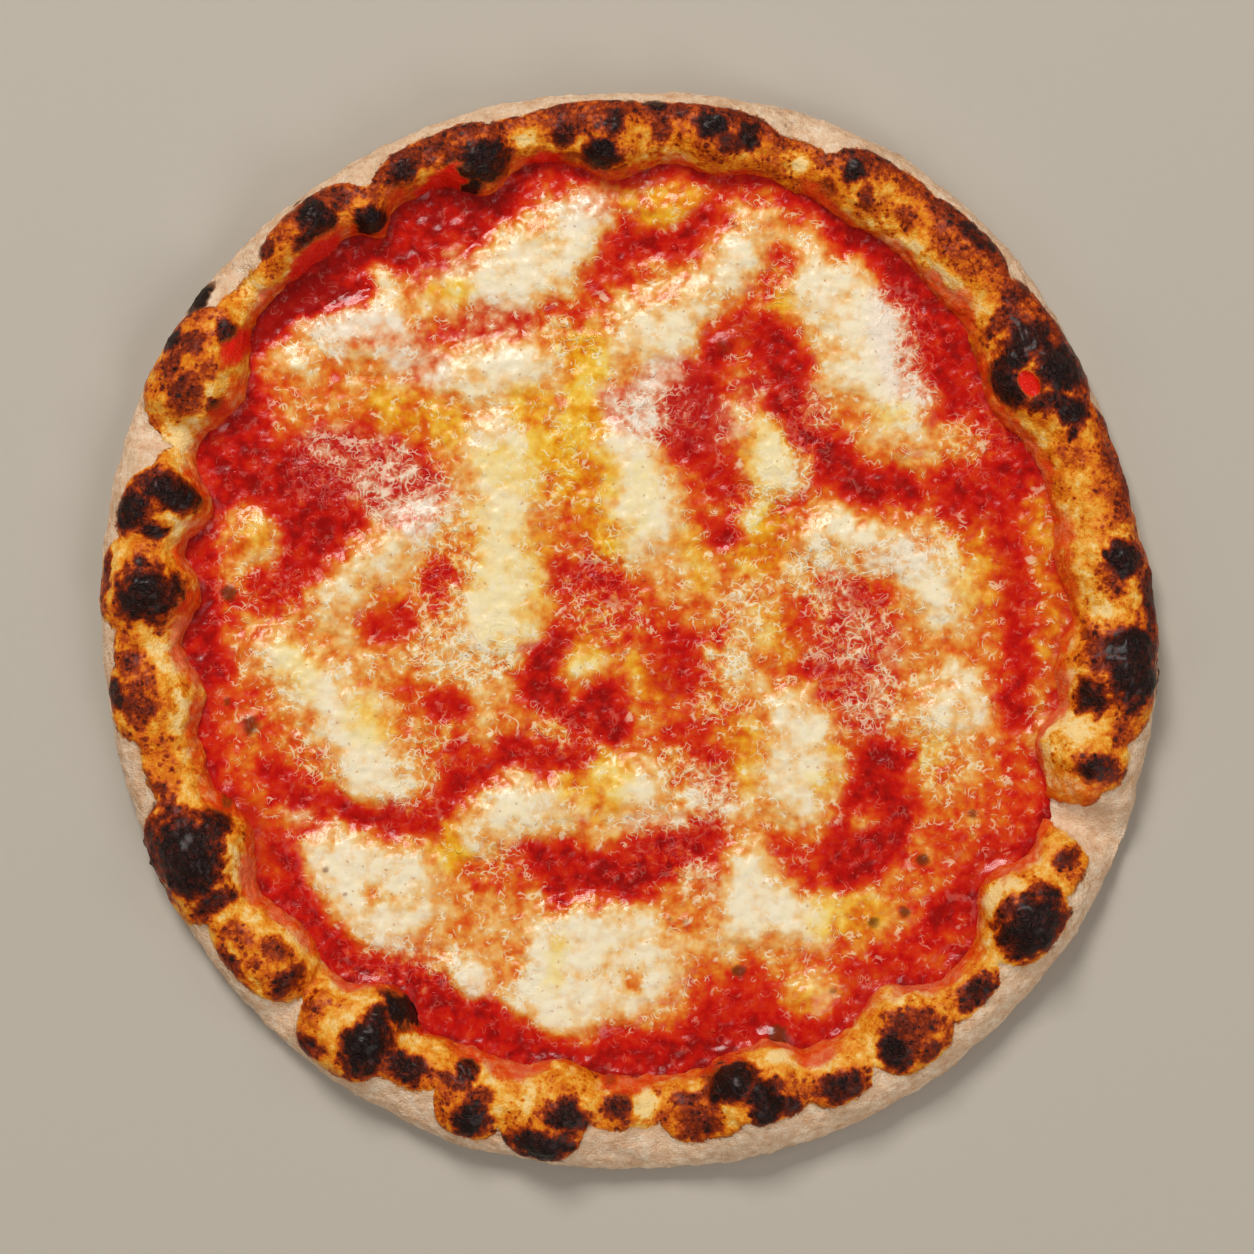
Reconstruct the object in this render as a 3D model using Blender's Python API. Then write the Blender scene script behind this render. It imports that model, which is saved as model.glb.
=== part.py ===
"""Margherita pizza: a round dough base with a puffed rim, a sauce layer and melted mozzarella.

Lengths are in millimetres and angles in degrees, counter-clockwise from +X. MM turns
lengths into metres when a mesh is made. The underside lies on z = 0, under the origin.
"""

import math

import bmesh
import bpy

MM = 0.001

# Dough base and rim
SEGMENTS = 180              # steps around the pizza
BASE_THICKNESS = 4.5        # dough under the sauce
RIM_HEIGHT = 16.5           # crest between the puffs
WIDEST_HEIGHT = 5.5         # height at which the rim is widest
FOOT_INSET = 9.0            # how far the underside starts inside the widest line
CREST_PLACE = 0.6           # crest between the sauce's edge (0) and the browned edge (1)
INNER_STEPS = 5             # steps of the curve from the sauce's edge up to the crest
OUTER_STEPS = 5             # steps of the curve from the crest down to the widest line
FOOT_STEPS = 2              # steps of the curve from the widest line to the underside
FLOOR_LIP = 1.5             # flat dough left inside the rim's inner edge

# Radii at every 15 degrees from +X: the outline, the sauce's edge and the pale flank
OUTLINE = [158.7, 155.4, 157.4, 161.7, 164.0, 163.8, 161.9, 163.0, 163.4, 163.8, 163.3, 161.0,
           158.5, 158.1, 159.5, 160.8, 162.1, 162.5, 161.9, 162.8, 163.1, 162.6, 161.6, 160.0]
INNER_EDGE = [133.0, 131.5, 133.0, 136.0, 140.0, 141.5, 141.0, 143.5, 146.0, 146.0, 143.5, 137.5,
              134.0, 133.0, 134.5, 135.5, 134.5, 134.0, 133.5, 134.5, 137.0, 140.0, 137.5, 132.5]
FLANK = [1.0, 1.0, 1.5, 3.0, 4.0, 7.0, 5.0, 5.0, 7.0, 7.0, 6.0, 8.0,
         6.0, 8.0, 5.0, 7.0, 9.0, 12.0, 15.0, 11.0, 9.5, 10.0, 9.0, 7.0]

# Puffs of the rim: angle, half width in degrees, reach inward, reach outward, rise
PUFFS = [
    (9.0, 7.0, 3.0, 0.5, 2.5),
    (32.0, 10.0, 6.0, 0.5, 5.0),
    (48.0, 7.0, 0.5, 1.0, 2.0),
    (63.0, 6.0, 2.0, 2.0, 3.5),
    (80.0, 6.0, 2.5, 3.5, 3.5),
    (92.0, 7.0, 6.0, 1.5, 4.0),
    (108.0, 5.5, 7.0, 1.5, 4.5),
    (116.0, 5.0, 0.0, 2.0, 2.0),
    (122.0, 3.5, 7.0, -1.5, 2.0),
    (129.0, 7.0, 2.0, 5.0, 4.5),
    (149.0, 9.0, 9.0, 5.0, 5.5),
    (164.0, 6.5, 8.0, 3.5, 5.5),
    (175.0, 7.0, 6.0, 5.0, 5.0),
    (188.0, 6.5, 4.5, 5.0, 2.5),
    (207.0, 8.5, 7.0, 4.0, 6.0),
    (222.0, 6.5, 4.0, 2.5, 2.5),
    (237.0, 6.5, 7.5, 5.0, 5.5),
    (251.0, 4.0, 1.0, 7.0, 2.0),
    (261.0, 6.0, 3.5, 9.0, 3.5),
    (284.0, 6.0, 5.0, 3.0, 6.0),
    (289.0, 4.0, 6.0, 0.0, 1.5),
    (296.0, 5.0, 0.0, 3.0, 2.5),
    (305.0, 7.0, 7.5, 4.0, 3.0),
    (324.5, 7.5, 9.0, 5.0, 6.0),
    (345.0, 6.5, 7.0, 2.5, 4.5),
    (355.0, 7.5, 5.0, 5.0, 5.5),
]

# Folds pressed across the rim: angle, half width in degrees, depth
FOLDS = [
    (71.0, 3.0, 3.0),
    (138.5, 3.5, 4.0),
    (157.0, 3.0, 5.0),
    (228.0, 2.5, 4.5),
    (273.5, 4.0, 3.0),
    (336.5, 4.0, 8.0),
]

# Layers on the base
GAP = 0.3                   # clearance between pieces that rest on each other
SAUCE_THICKNESS = 1.5
SAUCE_MARGIN = 1.2          # between the sauce's edge and the rim
SAUCE_ROUNDING = 0.8        # slope at the sauce's edge
POOL_SIDE = 1.0             # height of a pool's upright margin
POOL_BREADTH = 26.0         # breadth from which a pool's slopes have their full inset
POOL_SLOPES = [(1.6, 1.1), (2.2, 0.7)]   # full inset and rise of each step towards its top
STEPS_PER_POINT = 2         # curve steps between two points of a pool's outline

# Melted mozzarella: points of each pool's outline
POOLS = [
    [(-57, 102), (-42, 118), (-22, 128), (-5, 128), (-9, 114), (-19, 99), (-42, 96)],
    [(-94, 90), (-84, 100), (-68, 100), (-61, 88), (-66, 80), (-84, 78)],
    [(-56, 82), (-40, 88), (-25, 87), (-21, 80), (-31, 70), (-50, 67), (-59, 74)],
    [(-9, 88), (-1, 99), (21, 108), (30, 124), (42, 125), (43, 111), (28, 97), (15, 81), (-3, 77)],
    [(47, 102), (53, 116), (66, 112), (82, 94), (83, 78), (92, 62), (86, 49), (76, 55), (71, 67),
     (57, 73), (56, 86)],
    [(-62, 38), (-54, 33), (-66, 20), (-79, 10), (-85, -1), (-97, 7), (-90, 21), (-76, 30)],
    [(-119, -4), (-104, 1), (-88, -9), (-73, -25), (-65, -41), (-70, -55), (-84, -51), (-95, -30),
     (-106, -17)],
    [(-52, 56), (-40, 67), (-27, 61), (-25, 42), (-27, 20), (-24, -2), (-38, -9), (-53, -4),
     (-50, 12), (-49, 34)],
    [(-14, 57), (-4, 63), (9, 57), (17, 39), (14, 25), (-1, 21), (-8, 31), (-10, 45)],
    [(41, -21), (54, -17), (64, -34), (62, -49), (51, -58), (39, -50), (38, -35)],
    [(-53, -60), (-42, -46), (-27, -43), (-15, -47), (-13, -57), (-28, -61), (-46, -68)],
    [(-11, -46), (-1, -38), (10, -41), (13, -50), (5, -57), (-7, -56)],
    [(-103, -62), (-86, -59), (-62, -64), (-54, -76), (-60, -93), (-75, -98), (-92, -86)],
    [(-31, -86), (-13, -79), (7, -83), (20, -97), (13, -111), (-8, -121), (-30, -122), (-38, -107)],
    [(-57, -98), (-46, -100), (-41, -107), (-46, -112), (-55, -107)],
    [(28, -67), (39, -62), (50, -77), (62, -86), (58, -96), (38, -96), (25, -94), (25, -80)],
    [(44, 28), (60, 37), (84, 33), (105, 17), (104, 5), (94, -1), (84, 8), (76, 19), (56, 19)],
    [(31, 62), (40, 68), (51, 54), (54, 42), (44, 38), (35, 45)],
    [(83, -24), (92, -16), (106, -15), (109, -25), (98, -32), (87, -31)],
    [(-106, 80), (-99, 85), (-92, 81), (-95, 75), (-103, 75)],
    [(-121, 29), (-113, 36), (-104, 32), (-107, 23), (-117, 22)],
    [(2, 126), (10, 130), (21, 127), (12, 122)],
    [(46, -107), (56, -103), (63, -109), (54, -115)],
]


def clear_scene():
    for item in list(bpy.data.objects):
        bpy.data.objects.remove(item, do_unlink=True)


def cubic(before, start, end, after, part):
    """Catmull-Rom curve from start to end, with its neighbours on both sides."""
    return 0.5 * (2 * start + (end - before) * part
                  + (2 * before - 5 * start + 4 * end - after) * part ** 2
                  + (3 * start - before - 3 * end + after) * part ** 3)


def around(radii, angle):
    """Smooth value at an angle, from values spaced evenly around the pizza."""
    place = (angle % 360.0) / 360.0 * len(radii)
    index = int(place)
    near = [radii[(index + step) % len(radii)] for step in (-1, 0, 1, 2)]
    return cubic(*near, place - index)


def swell(angle, centre, half_width):
    """Smooth hump, 1 at the centre and 0 from half_width away."""
    away = abs((angle - centre + 180.0) % 360.0 - 180.0) / half_width
    return 0.5 + 0.5 * math.cos(math.pi * min(away, 1.0))


def inner_edge(angle):
    reach = sum(puff[2] * swell(angle, puff[0], puff[1]) for puff in PUFFS)
    return around(INNER_EDGE, angle) - reach


def crest_radius(angle):
    browned_edge = around(OUTLINE, angle) - around(FLANK, angle)
    crest = around(INNER_EDGE, angle) * (1 - CREST_PLACE) + browned_edge * CREST_PLACE
    return crest + sum((puff[3] - puff[2]) / 2 * swell(angle, puff[0], puff[1]) for puff in PUFFS)


def crest_height(angle):
    rise = sum(puff[4] * swell(angle, puff[0], puff[1]) for puff in PUFFS)
    pressed = sum(fold[2] * swell(angle, fold[0], fold[1]) for fold in FOLDS)
    return RIM_HEIGHT + rise - pressed


def quarter(steps):
    """Sine and cosine at even steps through a quarter turn, without its start."""
    angles = [math.pi / 2 * step / steps for step in range(1, steps + 1)]
    return [(math.sin(angle), math.cos(angle)) for angle in angles]


def rim_section(angle):
    """Radius and height of each ring, from the flat under the sauce to the underside."""
    inner = inner_edge(angle)
    crest = crest_radius(angle)
    outer = around(OUTLINE, angle)
    top = crest_height(angle)
    points = [(inner - FLOOR_LIP, BASE_THICKNESS), (inner, BASE_THICKNESS)]
    for sine, cosine in quarter(INNER_STEPS):
        points.append((crest - (crest - inner) * cosine,
                       BASE_THICKNESS + (top - BASE_THICKNESS) * sine))
    for sine, cosine in quarter(OUTER_STEPS):
        points.append((crest + (outer - crest) * sine,
                       WIDEST_HEIGHT + (top - WIDEST_HEIGHT) * cosine))
    for sine, cosine in quarter(FOOT_STEPS):
        points.append((outer - FOOT_INSET * (1 - cosine), WIDEST_HEIGHT * (1 - sine)))
    return points


def ring_of(mesh, angles, points):
    """One closed ring of vertices from a radius and a height for each angle."""
    ring = []
    for angle, (radius, height) in zip(angles, points):
        turn = math.radians(angle)
        place = (radius * math.cos(turn) * MM, radius * math.sin(turn) * MM, height * MM)
        ring.append(mesh.verts.new(place))
    return ring


def loft(mesh, rings):
    """Quads between rings that follow each other, turned outward by recalculation later."""
    for lower, upper in zip(rings, rings[1:]):
        for index in range(len(lower)):
            after = (index + 1) % len(lower)
            mesh.faces.new((lower[index], lower[after], upper[after], upper[index]))


def close_with_fan(mesh, ring, height):
    centre = mesh.verts.new((0.0, 0.0, height * MM))
    for index, vertex in enumerate(ring):
        mesh.faces.new((vertex, ring[(index + 1) % len(ring)], centre))


def material(name, colour, roughness):
    made = bpy.data.materials.new(name)
    made.use_nodes = True
    shader = made.node_tree.nodes["Principled BSDF"]
    shader.inputs["Base Color"].default_value = (*colour, 1.0)
    shader.inputs["Roughness"].default_value = roughness
    shader.inputs["Metallic"].default_value = 0.0
    return made


def finish(mesh, name, look, smooth_angle):
    """Makes the object of a closed mesh, with its faces outward and its look."""
    bmesh.ops.recalc_face_normals(mesh, faces=mesh.faces)
    data = bpy.data.meshes.new(name)
    mesh.to_mesh(data)
    mesh.free()
    data.shade_smooth()
    data.set_sharp_from_angle(angle=math.radians(smooth_angle))
    data.materials.append(look)
    made = bpy.data.objects.new(name, data)
    bpy.context.scene.collection.objects.link(made)


def make_dough(angles):
    mesh = bmesh.new()
    sections = [rim_section(angle) for angle in angles]
    rings = [ring_of(mesh, angles, points) for points in zip(*sections)]
    loft(mesh, rings)
    close_with_fan(mesh, rings[0], BASE_THICKNESS)
    close_with_fan(mesh, rings[-1], 0.0)
    finish(mesh, "dough", material("baked_dough", (0.62, 0.30, 0.09), 0.7), 60.0)


def make_sauce(angles):
    mesh = bmesh.new()
    bottom = BASE_THICKNESS + GAP
    top = bottom + SAUCE_THICKNESS
    edges = [inner_edge(angle) - SAUCE_MARGIN for angle in angles]
    rings = [
        ring_of(mesh, angles, [(edge, bottom) for edge in edges]),
        ring_of(mesh, angles, [(edge, top - SAUCE_ROUNDING) for edge in edges]),
        ring_of(mesh, angles, [(edge - 2 * SAUCE_ROUNDING, top) for edge in edges]),
    ]
    loft(mesh, rings)
    close_with_fan(mesh, rings[0], bottom)
    close_with_fan(mesh, rings[-1], top)
    finish(mesh, "tomato_sauce", material("tomato_sauce", (0.50, 0.03, 0.01), 0.3), 40.0)
    return top


def pool_outline(points):
    """Points of the smooth closed curve through a pool's outline."""
    curve = []
    for index in range(len(points)):
        near = [points[(index + step) % len(points)] for step in (-1, 0, 1, 2)]
        for step in range(STEPS_PER_POINT):
            part = step / STEPS_PER_POINT
            curve.append([cubic(*axis, part) for axis in zip(*near)])
    return curve


def make_pool(name, points, bottom, look):
    """One pool: an upright margin, then sloping steps up to a flat top."""
    mesh = bmesh.new()
    outline = pool_outline(points)
    breadth = min(max(axis) - min(axis) for axis in zip(*outline))
    share = min(breadth / POOL_BREADTH, 1.0)
    base = [mesh.verts.new((x * MM, y * MM, bottom * MM)) for x, y in outline]
    face = mesh.faces.new(base)
    side = bmesh.ops.extrude_face_region(mesh, geom=[face], use_keep_orig=True)
    lid = [item for item in side["geom"] if isinstance(item, bmesh.types.BMFace)]
    corners = {vertex for item in lid for vertex in item.verts}
    bmesh.ops.translate(mesh, verts=list(corners), vec=(0.0, 0.0, POOL_SIDE * MM))
    bmesh.ops.recalc_face_normals(mesh, faces=mesh.faces)
    for inset, rise in POOL_SLOPES:
        bmesh.ops.inset_region(mesh, faces=lid, thickness=inset * share * MM, depth=0.0,
                               use_even_offset=True)
        corners = {vertex for item in lid for vertex in item.verts}
        bmesh.ops.translate(mesh, verts=list(corners), vec=(0.0, 0.0, rise * MM))
    bmesh.ops.triangulate(mesh, faces=mesh.faces)
    finish(mesh, name, look, 60.0)


def main():
    clear_scene()
    angles = [360.0 * step / SEGMENTS for step in range(SEGMENTS)]
    make_dough(angles)
    sauce_top = make_sauce(angles)
    melted = material("melted_mozzarella", (0.88, 0.74, 0.50), 0.35)
    for number, points in enumerate(POOLS, start=1):
        make_pool(f"mozzarella_{number:02d}", points, sauce_top + GAP, melted)


main()
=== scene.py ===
"""Margherita pizza: the looks of its crust, sauce and melted mozzarella around the CAD frame.

Feature lists hold millimetres, and degrees counter-clockwise from +X. MM turns them into metres.
"""

import functools
import math
import random

import bmesh
import bpy
import numpy as np
from bpy.props import FloatProperty, FloatVectorProperty, IntProperty, PointerProperty
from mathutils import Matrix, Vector, noise


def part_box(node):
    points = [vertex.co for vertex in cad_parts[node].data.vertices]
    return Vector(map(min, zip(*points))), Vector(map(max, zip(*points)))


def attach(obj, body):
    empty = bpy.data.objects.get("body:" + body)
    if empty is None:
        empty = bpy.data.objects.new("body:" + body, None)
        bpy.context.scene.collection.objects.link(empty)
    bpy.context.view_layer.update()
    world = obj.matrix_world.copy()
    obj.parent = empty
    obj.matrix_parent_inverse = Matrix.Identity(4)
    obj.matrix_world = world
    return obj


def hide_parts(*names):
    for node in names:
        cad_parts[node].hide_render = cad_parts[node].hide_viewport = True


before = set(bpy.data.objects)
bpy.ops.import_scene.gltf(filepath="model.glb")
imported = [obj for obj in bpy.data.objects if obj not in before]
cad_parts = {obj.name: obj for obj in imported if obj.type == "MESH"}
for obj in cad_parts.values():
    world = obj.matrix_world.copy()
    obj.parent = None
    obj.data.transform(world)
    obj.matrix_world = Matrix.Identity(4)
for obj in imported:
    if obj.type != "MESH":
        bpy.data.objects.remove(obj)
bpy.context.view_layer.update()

bl_info = {
    "name": "Margherita Pizza",
    "version": (1, 0, 0),
    "blender": (4, 5, 0),
    "location": "View3D > Sidebar > Pizza",
    "description": "Builds the crust, sauce, melted mozzarella and stage of a margherita pizza",
    "category": "Object",
}

MM = 0.001
MAP_PITCH = 1.0              # between the entries of the tables that the topping is painted in
MAP_REACH = 152.0
SECTION_STEP = 2.0           # degrees between the sections of the CAD rim
WIDEST_HEIGHT = 5.5          # height of the pizza's widest line
EYE_HEIGHT = 1411.0          # height of the camera over that line
VIEW_CENTRE = (-0.6, 1.05)   # place at the middle of the picture
WARM_WHITE = (1.0, 0.985, 0.96)
STRENGTH = 4                 # column of an oval patch's strength
RISE = 5                     # column of the height that a burnt blister rises
PATCH_WINDOW = 16.0          # degrees on both sides of a patch that it may reach
EDGE_LIMIT = 6.0             # largest distance to the browned skin's edge that is kept
UNDERSIDE_PEAK = 4.0         # height of the hidden cone that closes the underside
UNDERSIDE_SHEET = 340.0      # width of the square that the underside is unfolded on
UNDER_RIM = 5.0              # how far the sauce reaches in under the rim
SAUCE_BOTTOM = 4.4
POOL_MARGIN = 3.5            # how far a pool's mesh reaches past its outline
POOL_DEPTH = 1.3             # how far a pool's mesh goes down into the sauce

# Lobes of the browned skin: angle, half width, radius that each reaches
BROWN_LOBES = [
    (2, 11, 158.9), (11.5, 5, 155.4), (20, 11, 156.2), (35, 12, 158.0), (50, 9, 160.3),
    (60, 8.5, 161.0), (70.5, 5.5, 155.6), (81, 10.5, 159.4), (94, 12, 159.4), (104, 5, 158.0),
    (112, 9.5, 160.3), (120.5, 4.5, 155.0), (128, 8.3, 161.6), (137.5, 6, 156.0), (142, 5, 157.5),
    (149, 8.5, 163.6), (161, 4, 150.5), (166, 6, 157.2), (174.5, 6.5, 159.3), (182, 4, 154.5),
    (188, 6, 157.0), (196, 6.5, 151.5), (206, 6.5, 159.0), (211.5, 4, 160.2), (220.6, 8.0, 157.2),
    (235, 6.4, 160.0), (242, 6.5, 153.0), (251.5, 4.6, 160.0), (260, 5.2, 161.0), (268, 3.8, 150.0),
    (271.5, 3.2, 149.0), (279, 6.2, 154.8), (287, 5.6, 153.8), (295, 5, 156.0), (304.8, 5.8, 158.2),
    (313, 5.8, 154.5), (324, 6.2, 158.4), (331, 4.4, 155.0), (334.0, 2.0, 137.0), (341.0, 2.8, 149.5),
    (344.6, 4.2, 155.2), (354, 8.5, 158.7),
]
LOBE_DROP = 12.0             # how far a lobe has drawn back at its half width
LOWEST_LOBE = 131.0          # radius of bare dough in the deepest folds

# Burnt places of the rim: angle, radius, half length around, half width across, depth, rise
BURNS = [
    (355.8, 151.8, 13.0, 7.4, 1.0, 1.6), (352.2, 140.0, 6.0, 5.0, 0.88, 0.4),
    (357.0, 142.0, 7.0, 6.0, 0.6, 0.0), (8.5, 150.2, 5.6, 5.0, 1.0, 0.8),
    (3.0, 156.5, 13.0, 2.0, 0.72, 0.0), (5.5, 147.0, 4.0, 4.0, 0.5, 0.0),
    (19.0, 153.5, 14.0, 3.0, 0.42, 0.0), (26.4, 148.5, 4.8, 4.6, 0.95, 0.5),
    (24.0, 146.0, 2.2, 2.4, 0.9, 0.2), (31.5, 151.5, 9.0, 6.4, 1.0, 1.2),
    (36.4, 147.5, 6.5, 8.5, 0.9, 0.8), (33.0, 135.8, 8.0, 4.6, 0.96, 0.4),
    (29.0, 143.0, 2.4, 6.0, 0.72, 0.2), (35.0, 142.0, 4.0, 5.0, 0.95, 0.4),
    (39.5, 146.0, 4.0, 8.0, 0.6, 0.0), (41.0, 154.0, 4.0, 4.5, 0.62, 0.0),
    (48.5, 157.5, 9.0, 2.8, 0.74, 0.3), (50.0, 151.0, 9.0, 6.0, 0.34, 0.0),
    (56.0, 149.5, 6.0, 4.0, 0.38, 0.0), (64.0, 158.0, 8.0, 2.2, 0.56, 0.0),
    (63.9, 154.0, 3.8, 4.6, 0.96, 0.8), (61.5, 148.5, 3.0, 4.0, 0.6, 0.0),
    (66.0, 146.0, 3.4, 3.4, 0.55, 0.0), (76.6, 153.0, 4.2, 4.4, 0.97, 0.5),
    (80.8, 153.4, 4.8, 4.2, 0.97, 0.5), (78.6, 150.0, 6.0, 4.0, 0.66, 0.0),
    (84.5, 157.0, 5.0, 2.4, 0.56, 0.0), (87.2, 157.8, 4.0, 2.0, 0.92, 0.3),
    (86.4, 151.0, 4.0, 5.0, 0.58, 0.0), (95.0, 154.0, 13.0, 4.4, 0.5, 0.0),
    (91.6, 152.0, 3.4, 5.4, 0.88, 0.4), (93.2, 143.2, 6.2, 4.8, 1.0, 1.0),
    (97.5, 150.5, 4.0, 4.0, 0.78, 0.3), (97.6, 143.0, 4.0, 2.4, 0.6, 0.0),
    (107.4, 147.5, 7.2, 6.2, 1.0, 1.2), (109.6, 141.4, 3.6, 3.0, 0.95, 0.4),
    (114.0, 156.0, 12.0, 3.8, 0.54, 0.2), (116.4, 154.0, 5.0, 4.0, 0.88, 0.4),
    (110.5, 151.0, 4.0, 3.0, 0.6, 0.0), (122.2, 145.4, 5.2, 4.2, 1.0, 1.2),
    (127.2, 155.8, 6.0, 6.0, 1.0, 1.2), (124.0, 156.0, 4.5, 4.0, 0.6, 0.2),
    (129.5, 152.5, 4.0, 3.0, 0.7, 0.2), (133.6, 158.0, 3.8, 2.6, 0.66, 0.2),
    (142.4, 163.0, 6.6, 2.1, 1.0, 0.5), (147.6, 162.2, 4.0, 2.2, 0.92, 0.3),
    (143.3, 151.0, 3.2, 4.4, 0.78, 0.2), (146.8, 156.5, 4.0, 3.0, 0.58, 0.0),
    (151.8, 151.5, 6.5, 5.5, 0.56, 0.3), (149.8, 158.5, 5.0, 2.5, 0.6, 0.0),
    (151.4, 141.0, 3.0, 3.0, 0.7, 0.0), (148.0, 148.0, 4.0, 3.0, 0.45, 0.0),
    (163.3, 144.4, 5.0, 10.0, 0.95, 0.8), (166.2, 152.6, 6.8, 5.0, 0.9, 0.6),
    (168.1, 146.0, 2.8, 4.2, 0.9, 0.4), (175.6, 144.8, 8.2, 9.8, 1.0, 1.8),
    (172.2, 148.0, 2.6, 2.2, 0.76, 0.0), (173.5, 157.8, 8.0, 1.0, 0.6, 0.0),
    (187.0, 154.8, 4.8, 2.8, 0.8, 0.3), (188.5, 150.0, 8.0, 5.0, 0.52, 0.0),
    (183.5, 151.0, 6.0, 5.0, 0.44, 0.0), (186.0, 144.5, 6.0, 3.0, 0.4, 0.0),
    (206.8, 149.4, 14.2, 9.8, 1.0, 1.8), (205.0, 137.5, 5.0, 4.6, 0.84, 0.4),
    (213.2, 149.0, 3.5, 7.0, 0.7, 0.0), (202.7, 131.0, 3.8, 2.4, 0.75, 0.2),
    (198.5, 148.5, 3.0, 2.5, 0.48, 0.0), (225.6, 147.0, 3.2, 6.4, 0.76, 0.3),
    (220.5, 155.6, 8.0, 2.0, 0.56, 0.0), (217.5, 149.0, 6.0, 5.0, 0.4, 0.0),
    (222.5, 143.0, 5.0, 4.0, 0.46, 0.0), (232.4, 157.5, 6.0, 2.6, 0.6, 0.0),
    (237.6, 147.8, 6.6, 9.0, 1.0, 1.6), (239.5, 132.2, 7.8, 5.2, 1.0, 0.8),
    (243.0, 147.5, 6.4, 4.6, 0.84, 0.4), (237.0, 138.0, 3.5, 4.0, 0.85, 0.2),
    (249.8, 140.8, 3.6, 4.4, 0.86, 0.3), (248.6, 145.0, 7.0, 2.0, 0.6, 0.0),
    (252.1, 153.8, 5.0, 5.6, 1.0, 0.7), (252.5, 146.0, 4.0, 3.0, 0.55, 0.0),
    (260.0, 156.9, 8.6, 4.6, 1.0, 1.4), (262.9, 147.2, 6.8, 5.0, 0.92, 0.8),
    (268.8, 142.8, 3.6, 4.0, 0.72, 0.2), (267.7, 135.2, 2.0, 2.0, 0.7, 0.2),
    (278.0, 149.5, 8.0, 5.5, 0.52, 0.0), (277.0, 141.5, 5.0, 2.0, 0.5, 0.0),
    (286.0, 147.5, 5.4, 7.0, 1.0, 1.6), (283.0, 138.8, 7.0, 6.6, 1.0, 1.8),
    (288.6, 150.6, 3.8, 3.2, 0.78, 0.2), (288.0, 143.0, 2.0, 3.0, 0.6, 0.0),
    (295.0, 151.2, 7.2, 4.6, 0.82, 0.5), (302.3, 149.4, 4.4, 6.2, 0.95, 0.7),
    (305.6, 146.5, 8.5, 7.5, 0.56, 0.4), (306.0, 155.0, 6.0, 2.6, 0.58, 0.2),
    (313.9, 150.8, 7.6, 4.0, 0.7, 0.3), (324.0, 149.8, 10.6, 7.8, 1.0, 2.0),
    (323.0, 141.0, 6.0, 2.6, 0.66, 0.0), (332.4, 148.2, 4.0, 3.6, 0.64, 0.2),
    (343.4, 146.8, 5.2, 7.8, 0.78, 0.4), (348.0, 152.0, 5.0, 4.5, 0.48, 0.0),
]

# Pale or less browned places of the rim: angle, radius, half length, half width, strength
PALE_PLACES = [
    (3.0, 143.0, 5.0, 6.0, 0.5), (22.0, 131.5, 7.0, 2.5, 0.8), (52.0, 142.0, 22.0, 4.0, 0.6),
    (70.5, 151.5, 5.0, 6.0, 0.9), (11.3, 152.0, 3.0, 5.0, 0.7), (102.0, 152.0, 4.0, 6.0, 0.5),
    (86.0, 144.0, 8.0, 3.0, 0.5), (138.0, 152.5, 6.0, 5.0, 0.6), (157.0, 149.0, 4.5, 5.0, 0.9),
    (160.0, 133.5, 4.0, 1.8, 0.9), (178.0, 134.0, 6.0, 4.0, 0.3), (188.5, 137.0, 3.5, 2.0, 0.8),
    (211.5, 135.5, 5.0, 3.0, 0.9), (221.0, 136.0, 6.0, 2.5, 0.5), (257.0, 147.0, 4.0, 4.0, 0.6),
    (272.0, 142.0, 3.5, 5.0, 0.9), (289.5, 135.0, 3.5, 1.8, 0.8), (307.5, 137.0, 5.0, 4.0, 0.5),
    (325.0, 136.0, 8.0, 3.0, 0.5), (346.5, 133.5, 8.0, 7.0, 0.45),
]

# Places where sauce and oil stain the rim: angle, radius, half length, half width, strength
STAINS = [
    (112.0, 145.5, 13.0, 4.4, 1.5), (130.0, 146.5, 12.0, 4.0, 1.5), (144.0, 145.5, 8.0, 4.0, 1.3),
    (100.5, 143.0, 8.0, 3.6, 1.3), (10.0, 132.5, 24.0, 3.0, 0.7), (75.0, 140.5, 16.0, 2.0, 0.8),
    (282.0, 133.5, 10.0, 3.0, 0.8), (315.0, 138.5, 10.0, 4.0, 0.9), (330.0, 135.0, 10.0, 3.0, 0.8),
    (5.0, 131.0, 22.0, 6.0, 0.75), (340.0, 142.0, 7.0, 14.0, 0.6), (336.5, 131.0, 8.0, 3.0, 0.7),
    (330.0, 137.0, 8.0, 2.5, 0.5), (297.0, 136.0, 8.0, 4.0, 0.7), (312.0, 139.0, 8.0, 5.0, 0.6),
    (193.0, 131.0, 14.0, 4.0, 0.6), (213.0, 136.0, 8.0, 4.0, 0.45), (243.0, 134.0, 6.0, 2.5, 1.0),
    (118.0, 148.0, 5.0, 3.0, 0.8), (127.5, 147.5, 6.0, 3.0, 0.9), (144.0, 146.0, 5.0, 4.0, 0.6),
    (152.0, 137.0, 7.0, 3.0, 0.4), (275.0, 135.0, 10.0, 2.0, 0.6), (255.0, 133.0, 8.0, 2.0, 0.5),
    (224.0, 134.0, 5.0, 2.0, 0.4), (60.0, 138.0, 12.0, 1.6, 0.6), (20.0, 129.5, 12.0, 2.5, 0.6),
    (350.0, 127.0, 12.0, 3.0, 0.6), (103.0, 143.0, 5.0, 3.0, 0.7),
]
WINDOW = (31.7, 141.2, 4.4, 2.9)    # hole in a burnt blister with sauce in it

# Widths of the bare sauce along the rim, every 15 degrees
BARE_RING = [4.0, 8.0, 6.0, 5.5, 6.0, 8.0, 7.0, 10.0, 15.0, 9.0, 12.0, 9.0,
             9.0, 7.0, 5.0, 5.0, 8.0, 8.0, 10.0, 9.0, 6.5, 6.0, 4.0, 4.0]

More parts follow.
